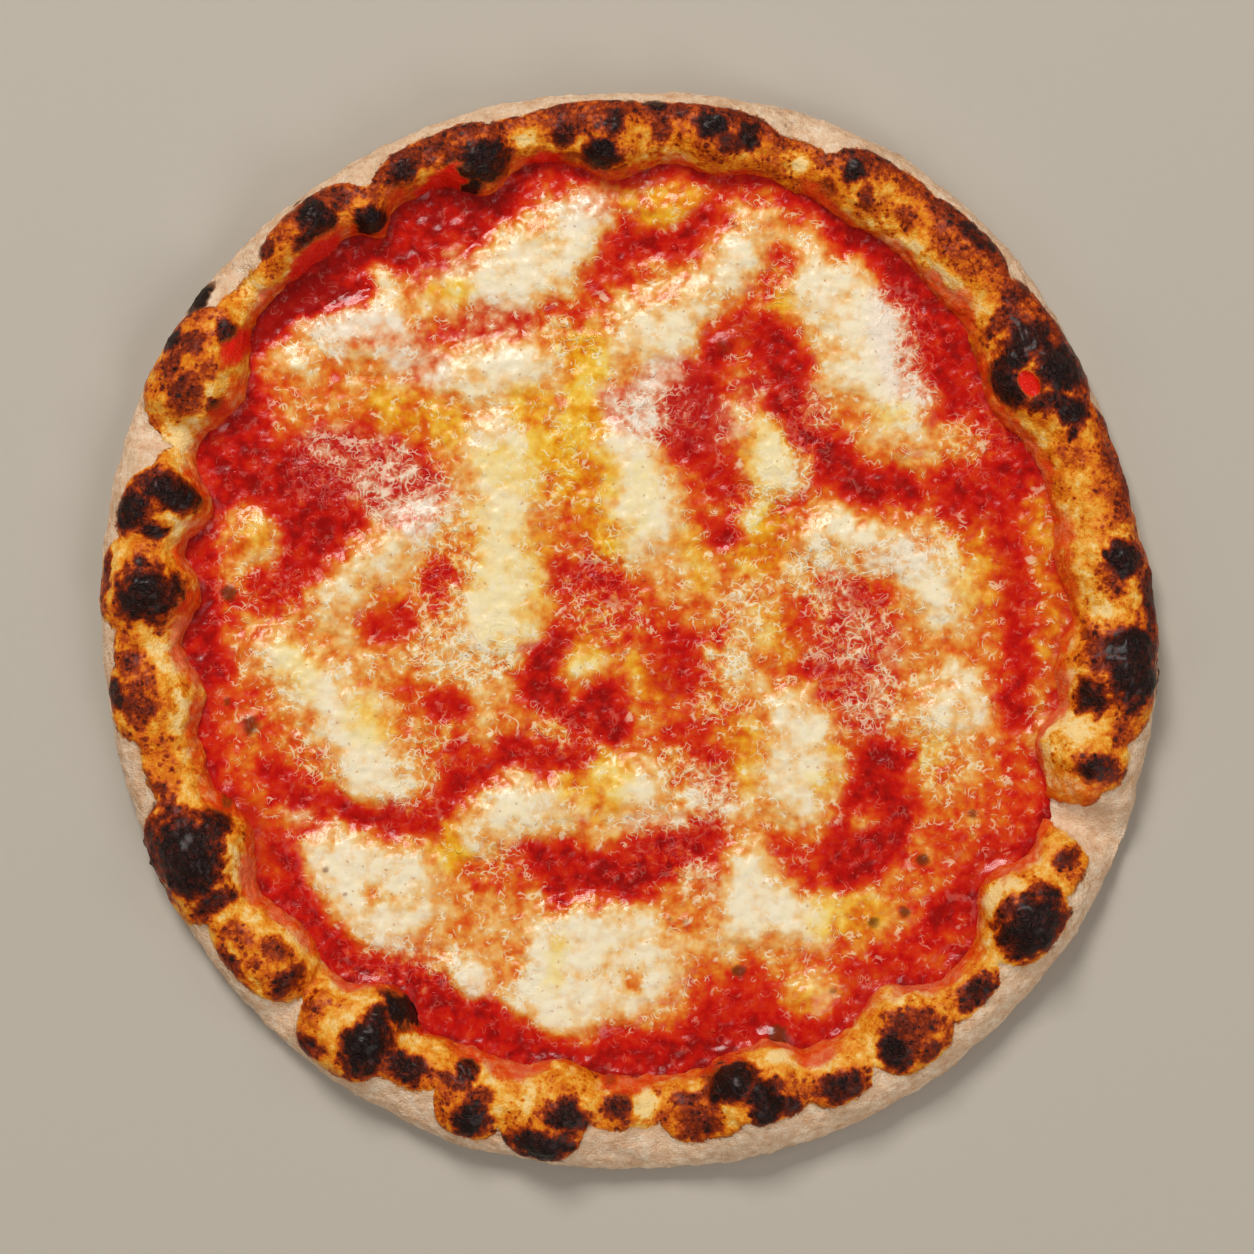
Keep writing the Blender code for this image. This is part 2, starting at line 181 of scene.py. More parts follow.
# Thin cheese between the pools: cheese cover, half width, points of the stroke
THIN_CHEESE = [
    (0.5, 9, [(-108, 68), (-85, 69), (-60, 64), (-48, 62)]),
    (0.68, 9, [(-88, 88), (-72, 84), (-58, 79), (-40, 78)]),
    (0.72, 8, [(-70, 97), (-55, 101), (-40, 106), (-25, 112)]),
    (0.8, 9, [(-46, 108), (-30, 116), (-18, 124)]), (0.74, 6, [(-12, 126), (-4, 128)]),
    (0.4, 5, [(-62, 106), (-56, 110)]), (0.72, 8, [(-52, 58), (-30, 62), (-14, 62), (-8, 80)]),
    (0.78, 10, [(-40, 50), (-36, 25), (-36, 0)]), (0.72, 9, [(2, 54), (4, 34), (14, 24)]),
    (0.62, 8, [(-4, 68), (8, 70)]), (0.32, 14, [(-92, 50), (-75, 50), (-62, 46)]),
    (0.22, 6, [(-56, 16)]), (0.62, 7, [(-78, -8), (-62, -6), (-52, -8), (-42, -14)]),
    (0.66, 6, [(-44, -20), (-44, -30)]), (0.5, 7, [(-60, -34), (-58, -24)]),
    (0.56, 9, [(-105, -6), (-84, -24)]), (0.34, 10, [(-112, -28), (-118, -44)]),
    (0.36, 6, [(-112, -60), (-112, -76)]), (0.78, 8, [(-40, -54), (-20, -54)]),
    (0.72, 10, [(-2, -48), (14, -52), (30, -52)]), (0.6, 11, [(-46, -84), (-36, -92), (-40, -102)]),
    (0.74, 12, [(-24, -100), (0, -98), (10, -108)]), (0.72, 9, [(34, -72), (34, -88), (54, -92)]),
    (0.55, 8, [(58, -84), (74, -84)]), (0.26, 12, [(22, -108), (42, -104), (62, -104)]),
    (0.34, 9, [(88, -64), (104, -58), (108, -48)]),
    (0.56, 10, [(84, -12), (96, -26), (96, -42), (84, -30)]), (0.44, 5, [(88, -36), (92, -40)]),
    (0.38, 12, [(62, -6), (74, -14), (66, -22)]), (0.6, 9, [(50, 24), (70, 28), (88, 22)]),
    (0.56, 8, [(42, 12), (28, 12), (10, 16)]), (0.66, 7, [(38, -2), (28, -6), (34, -16)]),
    (0.42, 8, [(18, -26), (34, -28), (30, -44)]), (0.5, 6, [(2, -12), (0, -34)]),
    (0.46, 9, [(76, 92), (84, 84), (84, 74)]), (0.58, 8, [(74, 72), (84, 62)]),
    (0.46, 7, [(98, 56), (110, 56)]), (0.6, 7, [(38, 50), (44, 60)]), (0.3, 6, [(30, 96), (34, 88)]),
    (0.45, 4, [(-20, 92), (-12, 88)]), (0.7, 6, [(8, 110), (24, 116)]), (0.4, 6, [(114, 20), (112, 6)]),
    (0.34, 7, [(116, -44), (112, -50)]),
]

# Sauce with little or no cheese: cheese cover, half width, points of the stroke
BARE_SAUCE = [
    (0.04, 8, [(-96, 106), (-80, 107), (-68, 116), (-56, 121), (-40, 129)]),
    (-0.16, 4, [(-112, 92), (-102, 96), (-92, 101)]), (0.06, 5, [(-118, 76), (-113, 62)]),
    (0.06, 12, [(-112, 48), (-98, 40), (-92, 28)]), (0.05, 5, [(-128, 20), (-127, 4), (-124, -8)]),
    (0.1, 7, [(-108, 12), (-98, 22)]), (0.12, 6, [(-10, 107), (-3, 110), (2, 118)]),
    (0.05, 5, [(0, 117), (14, 115), (24, 123)]),
    (0.24, 3, [(-56, 88), (-44, 92), (-30, 95), (-14, 97)]), (0.1, 3, [(-88, 78)]),
    (0.02, 5, [(64, 118), (76, 110), (90, 97), (97, 84)]), (0.08, 5, [(88, 92), (93, 80), (98, 68)]),
    (0.2, 3.5, [(45, 112), (44, 106), (37, 101)]), (0.1, 6, [(26, 84), (22, 72)]),
    (0.12, 8.5, [(18, 64), (22, 50), (29, 45)]),
    (0.04, 6.5, [(44, 88), (48, 76), (46, 67), (52, 58), (62, 50), (70, 44), (82, 42)]),
    (0.12, 2.5, [(47, 36), (54, 38)]), (0.1, 9, [(100, 42), (112, 42), (117, 52)]),
    (0.1, 5, [(114, 28), (117, 6), (118, -10), (117, -18)]),
    (0.42, 4.0, [(122, 38), (127, 12), (127, -10), (122, -32)]), (0.05, 4.5, [(115, -24)]),
    (0.16, 3.5, [(113, -37)]), (0.05, 4.5, [(28, 28)]), (0.3, 10, [(-17, 17), (-6, 12), (-12, 6)]),
    (0.1, 5, [(-18, 18), (-4, 13)]),
    (0.03, 6, [(-24, -4), (-28, -14), (-20, -22), (-8, -24), (-6, -29)]),
    (0.14, 8.5, [(15, -6), (15, -14)]), (0.22, 4, [(25, -2)]),
    (0.16, 4, [(12, -31), (23, -34), (25, -40)]), (0.22, 3, [(27, -25)]), (0.1, 2.5, [(14, -45)]),
    (0.07, 6, [(-57, 17)]), (0.14, 4.5, [(-78, 1), (-70, 2)]), (0.06, 5.5, [(-55, -22), (-51, -23)]),
    (0.14, 3.5, [(-53, -33), (-52, -42)]), (0.04, 5, [(-36, -36), (-26, -38), (-16, -38)]),
    (0.06, 4.5, [(-44, -43), (-54, -50), (-62, -57), (-72, -58), (-82, -55), (-94, -49), (-108, -43)]),
    (0.05, 6, [(-28, -67), (-14, -72), (2, -71), (14, -66), (24, -62)]),
    (0.04, 5.5, [(-19, -79), (-8, -80), (2, -76)]), (0.18, 3, [(-24, -85), (-22, -90)]),
    (0.32, 4, [(-46, -74), (-36, -72)]),
    (0.05, 5.5, [(-104, -64), (-101, -78), (-92, -89), (-84, -99), (-74, -103), (-60, -106),
                 (-48, -114), (-34, -121), (-16, -126), (6, -127), (24, -124)]),
    (0.12, 7, [(26, -115), (44, -114), (64, -119)]), (0.1, 4.5, [(57, -12), (61, -18)]),
    (0.18, 4, [(66, -10), (70, -16)]), (0.12, 5, [(68, 11), (74, 9)]), (0.22, 5, [(52, 4), (58, 2)]),
    (0.34, 5, [(60, -28), (68, -30)]),
    (0.04, 7, [(76, -38), (72, -50), (65, -61), (62, -70), (74, -66), (82, -53)]),
    (0.2, 5, [(48, -66), (54, -73)]),
    (0.19, 5.0, [(114, -57), (109, -70), (99, -82), (89, -92), (76, -100), (68, -106)]),
    (0.03, 5.5, [(100, -81), (93, -85)]), (0.1, 4, [(33, 92), (28, 88)]),
]

# Spots over the pools: cheese cover, half width, points
SPOTS = [
    (0.62, 6.5, [(-112, 30), (-110, 27)]), (0.3, 2, [(-116, 26)]), (0.56, 5, [(8, 126), (14, 127)]),
    (0.46, 4.5, [(-73, 8), (-66, 9)]), (0.12, 4, [(-77, 1), (-71, 2)]), (0.46, 6, [(-12, 45)]),
    (0.42, 5.5, [(-22, 28), (-20, 24)]), (0.52, 4, [(-28, 66)]), (0.52, 4, [(-18, -47)]),
    (0.58, 3.5, [(-55, -62)]), (0.4, 2.8, [(-78, -78), (-76, -81)]), (0.5, 2, [(-68, -83)]),
    (0.42, 3, [(-36, -97), (-34, -100)]), (0.44, 2.8, [(0, -106), (2, -106)]), (0.95, 2, [(-16, -21)]),
    (0.84, 5, [(-14, -9)]), (0.45, 6, [(14, -83), (18, -86)]), (0.7, 4, [(22, -73)]),
    (0.45, 2.2, [(62, 25), (66, 24)]), (0.48, 2.2, [(73, 24)]), (0.4, 5, [(42, 24), (44, 32)]),
    (0.9, 4, [(37, 34)]), (0.5, 5, [(78, -10)]), (0.52, 4, [(53, 16), (60, 14)]),
    (0.62, 3.5, [(71, -56)]), (0.86, 3.5, [(89, -62)]), (0.06, 2.6, [(91, -62), (95, -66)]),
    (0.12, 2.4, [(37, 75)]), (0.3, 2.0, [(31, 122)]), (0.62, 4.5, [(50, -110), (56, -111)]),
    (0.8, 4, [(62, -82)]), (0.88, 6, [(-47, -103)]), (0.86, 4.5, [(-73, 104)]), (0.84, 5, [(100, -14)]),
    (0.8, 5.5, [(104, -24), (96, -20)]), (0.55, 2.5, [(-80, 86), (-72, 86)]), (0.55, 2.5, [(-60, 84)]),
    (0.42, 2.2, [(-64, 75)]), (0.46, 3, [(-76, 76)]), (0.6, 3.5, [(-86, -16)]),
]

# Golden fat in the cheese: strength, half width, points
FAT = [
    (0.7, 4, [(122, 38), (127, 12), (127, -10)]), (1.2, 7, [(-25, 56), (-20, 53)]),
    (1.1, 6, [(-14, 60), (-12, 74), (-13, 86)]), (0.8, 6, [(-30, 68), (-26, 64)]),
    (0.9, 8, [(-12, 45)]), (0.9, 6, [(-8, 27), (-12, 33)]), (0.6, 8, [(-38, 49), (-24, 45)]),
    (0.9, 4, [(-54, 103), (-51, 104)]), (0.8, 6, [(4, 126), (16, 127)]),
    (0.8, 6, [(-74, 66), (-54, 62)]), (0.4, 8, [(38, 46), (42, 58)]), (0.9, 6, [(38, 22), (42, 32)]),
    (0.8, 4, [(46, 97)]), (0.8, 4, [(34, 88)]), (0.7, 5, [(8, -16), (2, -12)]), (0.6, 7, [(-14, -6)]),
    (0.7, 6, [(-4, -44), (-8, -50)]), (0.9, 4, [(-18, -47)]), (1.0, 4, [(-56, -62), (-52, -68)]),
    (0.7, 2.5, [(-23, -104), (-20, -95)]), (0.6, 5, [(-80, -26), (-76, -30)]),
    (0.7, 5, [(34, -30), (34, -44)]), (0.6, 4, [(58, -46)]), (0.7, 5, [(66, -34)]),
    (0.7, 7, [(60, -86), (72, -86)]), (0.7, 4, [(-72, 8)]), (0.6, 6, [(-112, 29)]),
    (0.7, 6, [(-112, -70), (-116, -56)]), (0.6, 5, [(52, -110)]), (0.5, 6, [(-28, 12), (-28, 24)]),
    (0.6, 5, [(20, 26), (22, 16)]), (0.4, 10, [(-36, 5), (-40, 30)]), (0.4, 6, [(4, 44), (2, 34)]),
    (0.5, 8, [(104, 26), (108, 10)]), (0.4, 7, [(92, -36)]), (0.5, 5, [(-102, -8), (-98, -14)]),
    (0.5, 5, [(78, 66)]), (0.45, 5, [(44, 4), (46, -6)]),
]

# Thin, cool cheese over sauce: strength, half width, points
HAZE = [
    (1.0, 12, [(-92, 50), (-78, 48), (-66, 41)]), (0.7, 7, [(-84, 92), (-72, 88), (-60, 80)]),
    (0.7, 6, [(-48, 92), (-34, 94)]), (0.5, 5, [(-62, 108), (-50, 112)]),
    (0.5, 5, [(-16, 124), (-8, 128)]), (0.5, 5, [(-93, 93), (-86, 86)]),
    (0.6, 5, [(-40, 97), (-34, 93)]), (0.7, 5, [(-8, 128), (-14, 127)]),
    (1.0, 10, [(2, 66), (14, 72), (22, 62)]), (0.9, 8, [(80, 98), (80, 84), (84, 74)]),
    (0.6, 5, [(54, 70), (56, 64)]), (0.7, 5, [(62, 14), (68, 2)]),
    (0.6, 8, [(62, -6), (74, -4), (70, -24)]), (0.5, 5, [(-70, -54)]),
    (0.5, 5, [(-96, -58), (-98, -52)]), (0.5, 6, [(24, -46), (26, -54)]),
    (0.5, 6, [(4, -60), (18, -60)]), (0.5, 5, [(22, -73)]), (0.5, 5, [(-46, -106)]),
    (0.6, 5, [(37, 74)]), (0.4, 6, [(86, 24), (74, 20)]), (0.4, 6, [(-76, -97), (-64, -98)]),
    (0.4, 5, [(-20, 128)]), (0.5, 5, [(-20, 16)]),
]

# Places thick with fine threads of melted cheese: strength, half width, points
THREADS = [
    (0.7, 11, [(-94, 49), (-80, 47), (-62, 40)]), (0.7, 9, [(80, 96), (84, 84), (84, 72)]),
    (0.9, 8, [(-60, -6), (-50, -10), (-40, -4)]), (0.7, 9, [(-56, 34), (-56, 14), (-56, 0)]),
    (0.9, 10, [(58, 18), (66, 4), (66, -12), (72, -22)]), (0.7, 8, [(-6, 20), (-14, 8), (-4, 6)]),
    (0.7, 8, [(4, 66), (14, 64)]), (0.6, 9, [(36, 8), (30, -6), (26, -20)]),
    (0.7, 8, [(54, 64), (50, 46), (36, 38)]), (0.6, 8, [(100, 56), (108, 58)]),
    (0.6, 9, [(-62, -34), (-66, -50)]), (0.6, 7, [(-96, -38), (-90, -42)]),
    (0.6, 9, [(18, -42), (24, -52)]), (0.6, 6, [(6, -60), (20, -72)]), (0.6, 8, [(90, -30), (96, -42)]),
    (0.6, 8, [(-78, -98), (-58, -102)]), (0.6, 6, [(-30, -106)]), (0.5, 8, [(-16, 60), (-24, 44)]),
    (0.5, 7, [(-20, 92), (-16, 86)]), (0.5, 6, [(-94, 92), (-92, 88)]), (0.6, 6, [(44, 104)]),
    (0.5, 8, [(-14, -34), (-22, -30)]), (0.5, 7, [(80, 20), (92, 24)]),
    (0.4, 7, [(-110, -8), (-104, -18)]), (0.5, 6, [(-44, -70), (-34, -68)]), (0.5, 5, [(2, -72)]),
    (0.5, 6, [(-120, 14), (-104, 12)]),
]

# Small scorched blisters of the topping: x, y, radius, depth
SCORCHES = [
    (44.4, -122.0, 4.6, 0.9), (-120, 11, 3.4, 0.8), (-113.5, -28.5, 4.2, 0.7),
    (-120.5, -21.5, 2.0, 0.6), (29, 85.5, 4.2, 0.5), (33, -102, 2.8, 0.8), (82.5, -84.5, 2.6, 0.8),
    (73.5, -87.5, 2.6, 0.7), (61, -108, 2.0, 0.6), (88, -69, 2.8, 0.8), (103, -55, 2.2, 0.7),
    (-91, -71.5, 1.6, 0.6), (-58, 82, 2.2, 0.4), (17, -87, 1.8, 0.5), (12, -86.5, 1.4, 0.5),
    (32, 121.5, 1.6, 0.5), (-85, -79, 1.2, 0.6),
]


# ---------------------------------------------------------------- numbers and fields


def smooth(low, high, values):
    """0 at low, 1 at high and an even curve between; low may be above high."""
    share = np.clip((values - low) / (high - low), 0.0, 1.0)
    return share * share * (3.0 - 2.0 * share)


def noise_at(points, size, seed, octaves=2):
    """Smooth noise from about -1 to 1, with features of that size, at points in millimetres."""
    shift = Vector((seed * 17.3, seed * 5.1 + 3.7, seed * 9.7 + 1.9))
    scale = 1.0 / size
    return np.array([noise.fractal(Vector(point) * scale + shift, 1.0, 2.0, octaves)
                     for point in points.tolist()])


def bubble_at(points, size, seed):
    """Rounded bumps from 0 to 1, about that size in millimetres."""
    shift = Vector((seed * 11.1, seed * 7.3, seed * 3.9))
    away = np.array([noise.voronoi(Vector(point) / size + shift)[0][0] for point in points.tolist()])
    return smooth(0.75, 0.0, away)


def flat_points(places):
    """Places in a plane as points in space."""
    return np.column_stack([places, np.zeros(len(places))])


def around(values, angles):
    """Smooth value at each angle, from values spaced evenly around the pizza."""
    values = np.asarray(values, float)
    place = (np.asarray(angles) % 360.0) / 360.0 * len(values)
    index = place.astype(int)
    part = (place - index).reshape((-1,) + (1,) * (values.ndim - 1))
    before, start, end, after = (values[(index + step) % len(values)] for step in (-1, 0, 1, 2))
    return cubic(before, start, end, after, part)


def cubic(before, start, end, after, part):
    """Catmull-Rom curve from start to end, with its neighbours on both sides."""
    return 0.5 * (2 * start + (end - before) * part
                  + (2 * before - 5 * start + 4 * end - after) * part ** 2
                  + (3 * start - before - 3 * end + after) * part ** 3)


def turned(angles, centre):
    """Degrees from the centre, the short way round."""
    return (angles - centre + 180.0) % 360.0 - 180.0


def line_distance(places, line):
    """Distance from each place to a line through its points."""
    line = np.asarray(line, float)
    ends = line if len(line) > 1 else np.vstack([line, line])
    nearest = np.full(len(places), np.inf)
    for start, end in zip(ends, ends[1:]):
        along = end - start
        offset = places - start
        share = np.clip(offset @ along / max(along @ along, 1e-9), 0.0, 1.0)
        nearest = np.minimum(nearest, np.linalg.norm(offset - share[:, None] * along, axis=1))
    return nearest


def depth_inside(places, outline):
    """Distance from each place to a closed outline, positive inside it."""
    closed = np.vstack([outline, outline[:1]])
    inside = np.zeros(len(places), bool)
    for (x0, y0), (x1, y1) in zip(closed, closed[1:]):
        spans = (y0 > places[:, 1]) != (y1 > places[:, 1])
        if abs(y1 - y0) > 1e-9:
            crossing = x0 + (places[:, 1] - y0) * (x1 - x0) / (y1 - y0)
            inside ^= spans & (places[:, 0] < crossing)
    return np.where(inside, 1.0, -1.0) * line_distance(places, closed)


def painted(values, places, strokes, softness):
    """Values with each stroke laid over them in turn."""
    for value, half_width, line in strokes:
        cover = smooth(half_width + softness, half_width - softness, line_distance(places, line))
        values = values * (1.0 - cover) + value * cover
    return values


def gathered(places, strokes, softness):
    """Strongest stroke at each place."""
    values = np.zeros(len(places))
    for strength, half_width, line in strokes:
        reach = smooth(half_width + softness, half_width - softness, line_distance(places, line))
        values = np.maximum(values, strength * reach)
    return values


# ---------------------------------------------------------------- the frame's shapes


def merged_points(node):
    """Vertices of a CAD node in millimetres, each once."""
    return np.unique(np.round([vertex.co / MM for vertex in node.data.vertices], 3), axis=0)


def rim_sections():
    """Radius and height of the CAD rim's rings, as [section, ring, 2], from the sauce outward."""
    points = merged_points(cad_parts["dough"])
    radii = np.hypot(points[:, 0], points[:, 1])
    points, radii = points[radii > 1.0], radii[radii > 1.0]
    turns = np.degrees(np.arctan2(points[:, 1], points[:, 0]))
    index = np.round(turns / SECTION_STEP).astype(int) % round(360.0 / SECTION_STEP)
    sections = []
    core_height = 4.0
    for section in range(index.max() + 1):
        chosen = np.column_stack([radii, points[:, 2]])[index == section]
        core = np.array([(chosen[:, 0].min() + chosen[:, 0].max()) / 2, core_height])
        turn = np.arctan2(*(chosen - core).T[::-1])
        sections.append(chosen[np.argsort(-((turn + math.pi / 2) % (2 * math.pi)))])
    return np.array(sections)


def pool_outlines():
    """Lower outline of each CAD pool of mozzarella, in millimetres, by node name."""
    outlines = {}
    for name in sorted(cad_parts):
        if name.startswith("mozzarella"):
            mesh = bmesh.new()
            mesh.from_mesh(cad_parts[name].data)
            bmesh.ops.remove_doubles(mesh, verts=mesh.verts, dist=1e-6)
            lowest = min(vertex.co.z for vertex in mesh.verts)
            under = [face for face in mesh.faces
                     if max(vertex.co.z for vertex in face.verts) < lowest + 1e-5]
            edges = [edge for face in under for edge in face.edges]
            border = [edge for edge in edges if edges.count(edge) == 1]
            outlines[name] = walk(border)
            mesh.free()
    return outlines


def walk(border):
    """Places of a closed run of edges, in order."""
    vertex = border[0].verts[0]
    edge = border[0]
    left = set(border)
    places = []
    while left:
        left.discard(edge)
        vertex = edge.other_vert(vertex)
        places.append((vertex.co.x / MM, vertex.co.y / MM))
        following = [item for item in vertex.link_edges if item in left]
        if not following:
            break
        edge = following[0]
    return np.array(places)


SECTIONS = rim_sections()
INNER = SECTIONS[:, 1, 0]
CREST = SECTIONS[np.arange(len(SECTIONS)), SECTIONS[:, :, 1].argmax(axis=1), 0]
FOOT = SECTIONS[:, -1, 0]
POOLS = pool_outlines()
SAUCE_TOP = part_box("tomato_sauce")[1].z / MM


# ---------------------------------------------------------------- meshes


def deselect():
    for item in bpy.context.selected_objects:
        item.select_set(False)


def mesh_object(name, points, faces, attributes):
    """An object of a mesh with points in millimetres and named numbers on its vertices."""
    data = bpy.data.meshes.new(name)
    data.from_pydata((points * MM).tolist(), [], faces)
    for key, values in attributes.items():
        layer = data.attributes.new(key, "FLOAT", "POINT")
        layer.data.foreach_set("value", np.asarray(values, np.float32))
    data.shade_smooth()
    made = bpy.data.objects.new(name, data)
    bpy.context.scene.collection.objects.link(made)
    return made


def unfold(made, places, shown):
    """Gives a mesh its own UV map from a place, 0 to 1 across and up, for each vertex.

    The faces from number shown on close the piece out of sight, and share a strip at the side.
    """
    layer = made.data.uv_layers.new(name="OFBake")
    corners = np.zeros(len(made.data.loops), int)
    made.data.loops.foreach_get("vertex_index", corners)
    across, up = np.asarray(places)[corners].T
    hidden = np.arange(len(corners)) >= made.data.polygons[shown].loop_start
    across = np.where(hidden, 0.975 + 0.02 * across, 0.965 * across)
    layer.data.foreach_set("uv", np.column_stack([across, up]).astype(np.float32).ravel())


def closed_below(points, faces, numbers, bottom):
    """A sheet's points, faces and numbers with a wall around it, down to a flat bottom."""
    edges = {edge for face in faces for edge in zip(face, face[1:] + face[:1])}
    following = {}
    for start, end in sorted(edges):
        if (end, start) not in edges:
            following.setdefault(start, []).append(end)
    faces = list(faces)
    while following:
        loop = [min(following)]
        while len(loop) == 1 or loop[-1] != loop[0]:
            ends = following[loop[-1]]
            loop.append(ends.pop())
            if not ends:
                del following[loop[-2]]
        loop.pop()
        first = len(points)
        low = points[loop]
        low[:, 2] = bottom
        points = np.vstack([points, low])
        numbers = {key: np.concatenate([values, values[loop]]) for key, values in numbers.items()}
        for step, start in enumerate(loop):
            after = (step + 1) % len(loop)
            faces.append((loop[after], start, first + step, first + after))
        faces.append(tuple(range(first + len(loop) - 1, first - 1, -1)))
    return points, faces, numbers


def ring_faces(rings, steps):
    """Quads between rings of vertices that are numbered ring by ring."""
    faces = []
    for ring in range(rings - 1):
        for step in range(steps):
            after = (step + 1) % steps
            low, high = ring * steps, (ring + 1) * steps
            faces.append((low + step, high + step, high + after, low + after))
    return faces


def settle(made, node_names, look):
    """Finishes a piece: its material, its body and the CAD nodes that it stands for."""
    made.data.materials.append(look)
    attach(made, "root")
    if node_names:
        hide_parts(*node_names)


# ---------------------------------------------------------------- materials


def rgb(red, green, blue):
    """A colour from screen values of 0 to 255, as a shader holds it."""
    parts = [value / 255.0 for value in (red, green, blue)]
    linear = [part / 12.92 if part <= 0.04045 else ((part + 0.055) / 1.055) ** 2.4 for part in parts]
    return (*linear, 1.0)


class Value:
    """A socket in a material: sums with it add Math nodes."""

    def __init__(self, look, socket):
        self.look = look
        self.socket = socket

    def math(self, operation, first, second=0.0, clamp=False):
        settings = {"operation": operation, "use_clamp": clamp}
        return self.look.node("ShaderNodeMath", settings, {0: first, 1: second})

    def __add__(self, other):
        return self.math("ADD", self, other)

    def __sub__(self, other):
        return self.math("SUBTRACT", self, other)

    def __rsub__(self, other):
        return self.math("SUBTRACT", other, self)

    def __mul__(self, other):
        return self.math("MULTIPLY", self, other)

    def __abs__(self):
        return self.math("ABSOLUTE", self)

    __radd__ = __add__
    __rmul__ = __mul__

    def held(self):
        """The value kept between 0 and 1."""
        return self.math("ADD", self, 0.0, clamp=True)

    def over(self, other):
        """The larger of the two."""
        return self.math("MAXIMUM", self, other)


class Look:
    """A material that is written as expressions on its sockets."""

    def __init__(self, name):
        self.material = bpy.data.materials.new(name)
        self.material.use_nodes = True
        self.nodes = self.material.node_tree.nodes
        self.links = self.material.node_tree.links
        self.shader = self.nodes["Principled BSDF"]
        self.place = self.node("ShaderNodeTexCoord", {}, {}, "Object")

    def node(self, kind, settings, inputs, output=0):
        made = self.nodes.new(kind)
        for key, value in settings.items():
            if key == "stops":
                self.fill_ramp(made.color_ramp, value)
            else:
                setattr(made, key, value)
        for key, value in inputs.items():
            if isinstance(value, Value):
                self.links.new(value.socket, made.inputs[key])
            else:
                made.inputs[key].default_value = value
        return Value(self, made.outputs[output])

    def fill_ramp(self, ramp, stops):
        while len(ramp.elements) < len(stops):
            ramp.elements.new(1.0)
        for element, (place, colour) in zip(ramp.elements, stops):
            element.position = place
            element.color = colour

    def carried(self, name):
        """A number that the mesh carries on its vertices."""
        settings = {"attribute_type": "GEOMETRY", "attribute_name": name}
        return self.node("ShaderNodeAttribute", settings, {}, "Fac")

    def grain(self, size, detail=2.0, roughness=0.5, shift=0.0, warp=0.0):
        """Noise around 0, with features of a size in millimetres."""
        moved = self.node("ShaderNodeVectorMath", {"operation": "ADD"},
                          {0: self.place, 1: (shift, shift * 0.7, shift * 0.3)})
        inputs = {"Vector": moved, "Scale": 1.0 / (size * MM), "Detail": detail,
                  "Roughness": roughness, "Distortion": warp}
        return self.node("ShaderNodeTexNoise", {}, inputs, "Fac") - 0.5

    def cells(self, size, feature="F1", output="Distance", shift=0.0):
        """Distance to scattered points about a size in millimetres apart, in sizes."""
        bend = self.node("ShaderNodeTexNoise", {}, {"Vector": self.place, "Scale": 0.6 / (size * MM)},
                         "Color")
        bent = self.node("ShaderNodeVectorMath", {"operation": "MULTIPLY_ADD"},
                         {0: bend, 1: (size * MM,) * 3, 2: self.place})
        moved = self.node("ShaderNodeVectorMath", {"operation": "ADD"}, {0: bent, 1: (shift,) * 3})
        return self.node("ShaderNodeTexVoronoi", {"feature": feature},
                         {"Vector": moved, "Scale": 1.0 / (size * MM)}, output)

    def step(self, value, low, high):
        """0 at low, 1 at high and an even curve between."""
        return self.node("ShaderNodeMapRange", {"interpolation_type": "SMOOTHSTEP"},
                         {"Value": value, "From Min": low, "From Max": high})

    def ramp(self, value, stops):
        return self.node("ShaderNodeValToRGB", {"stops": stops}, {"Fac": value}, "Color")

    def blend(self, share, below, above):
        return self.node("ShaderNodeMix", {"data_type": "RGBA"}, {0: share, 6: below, 7: above}, 2)

    def relief(self, height, depth):
        """Surface normal bent by a height; depth is the height of 1, in millimetres."""
        return self.node("ShaderNodeBump", {},
                         {"Height": height, "Distance": depth * MM, "Strength": 1.0})

    def finish(self, colour, roughness, normal=None, **constants):
        for key, value in (("Base Color", colour), ("Roughness", roughness), ("Normal", normal)):
            if isinstance(value, Value):
                self.links.new(value.socket, self.shader.inputs[key])
            elif value is not None:
                self.shader.inputs[key].default_value = value
        for key, value in constants.items():
            self.shader.inputs[key.replace("_", " ")].default_value = value
        return self.material


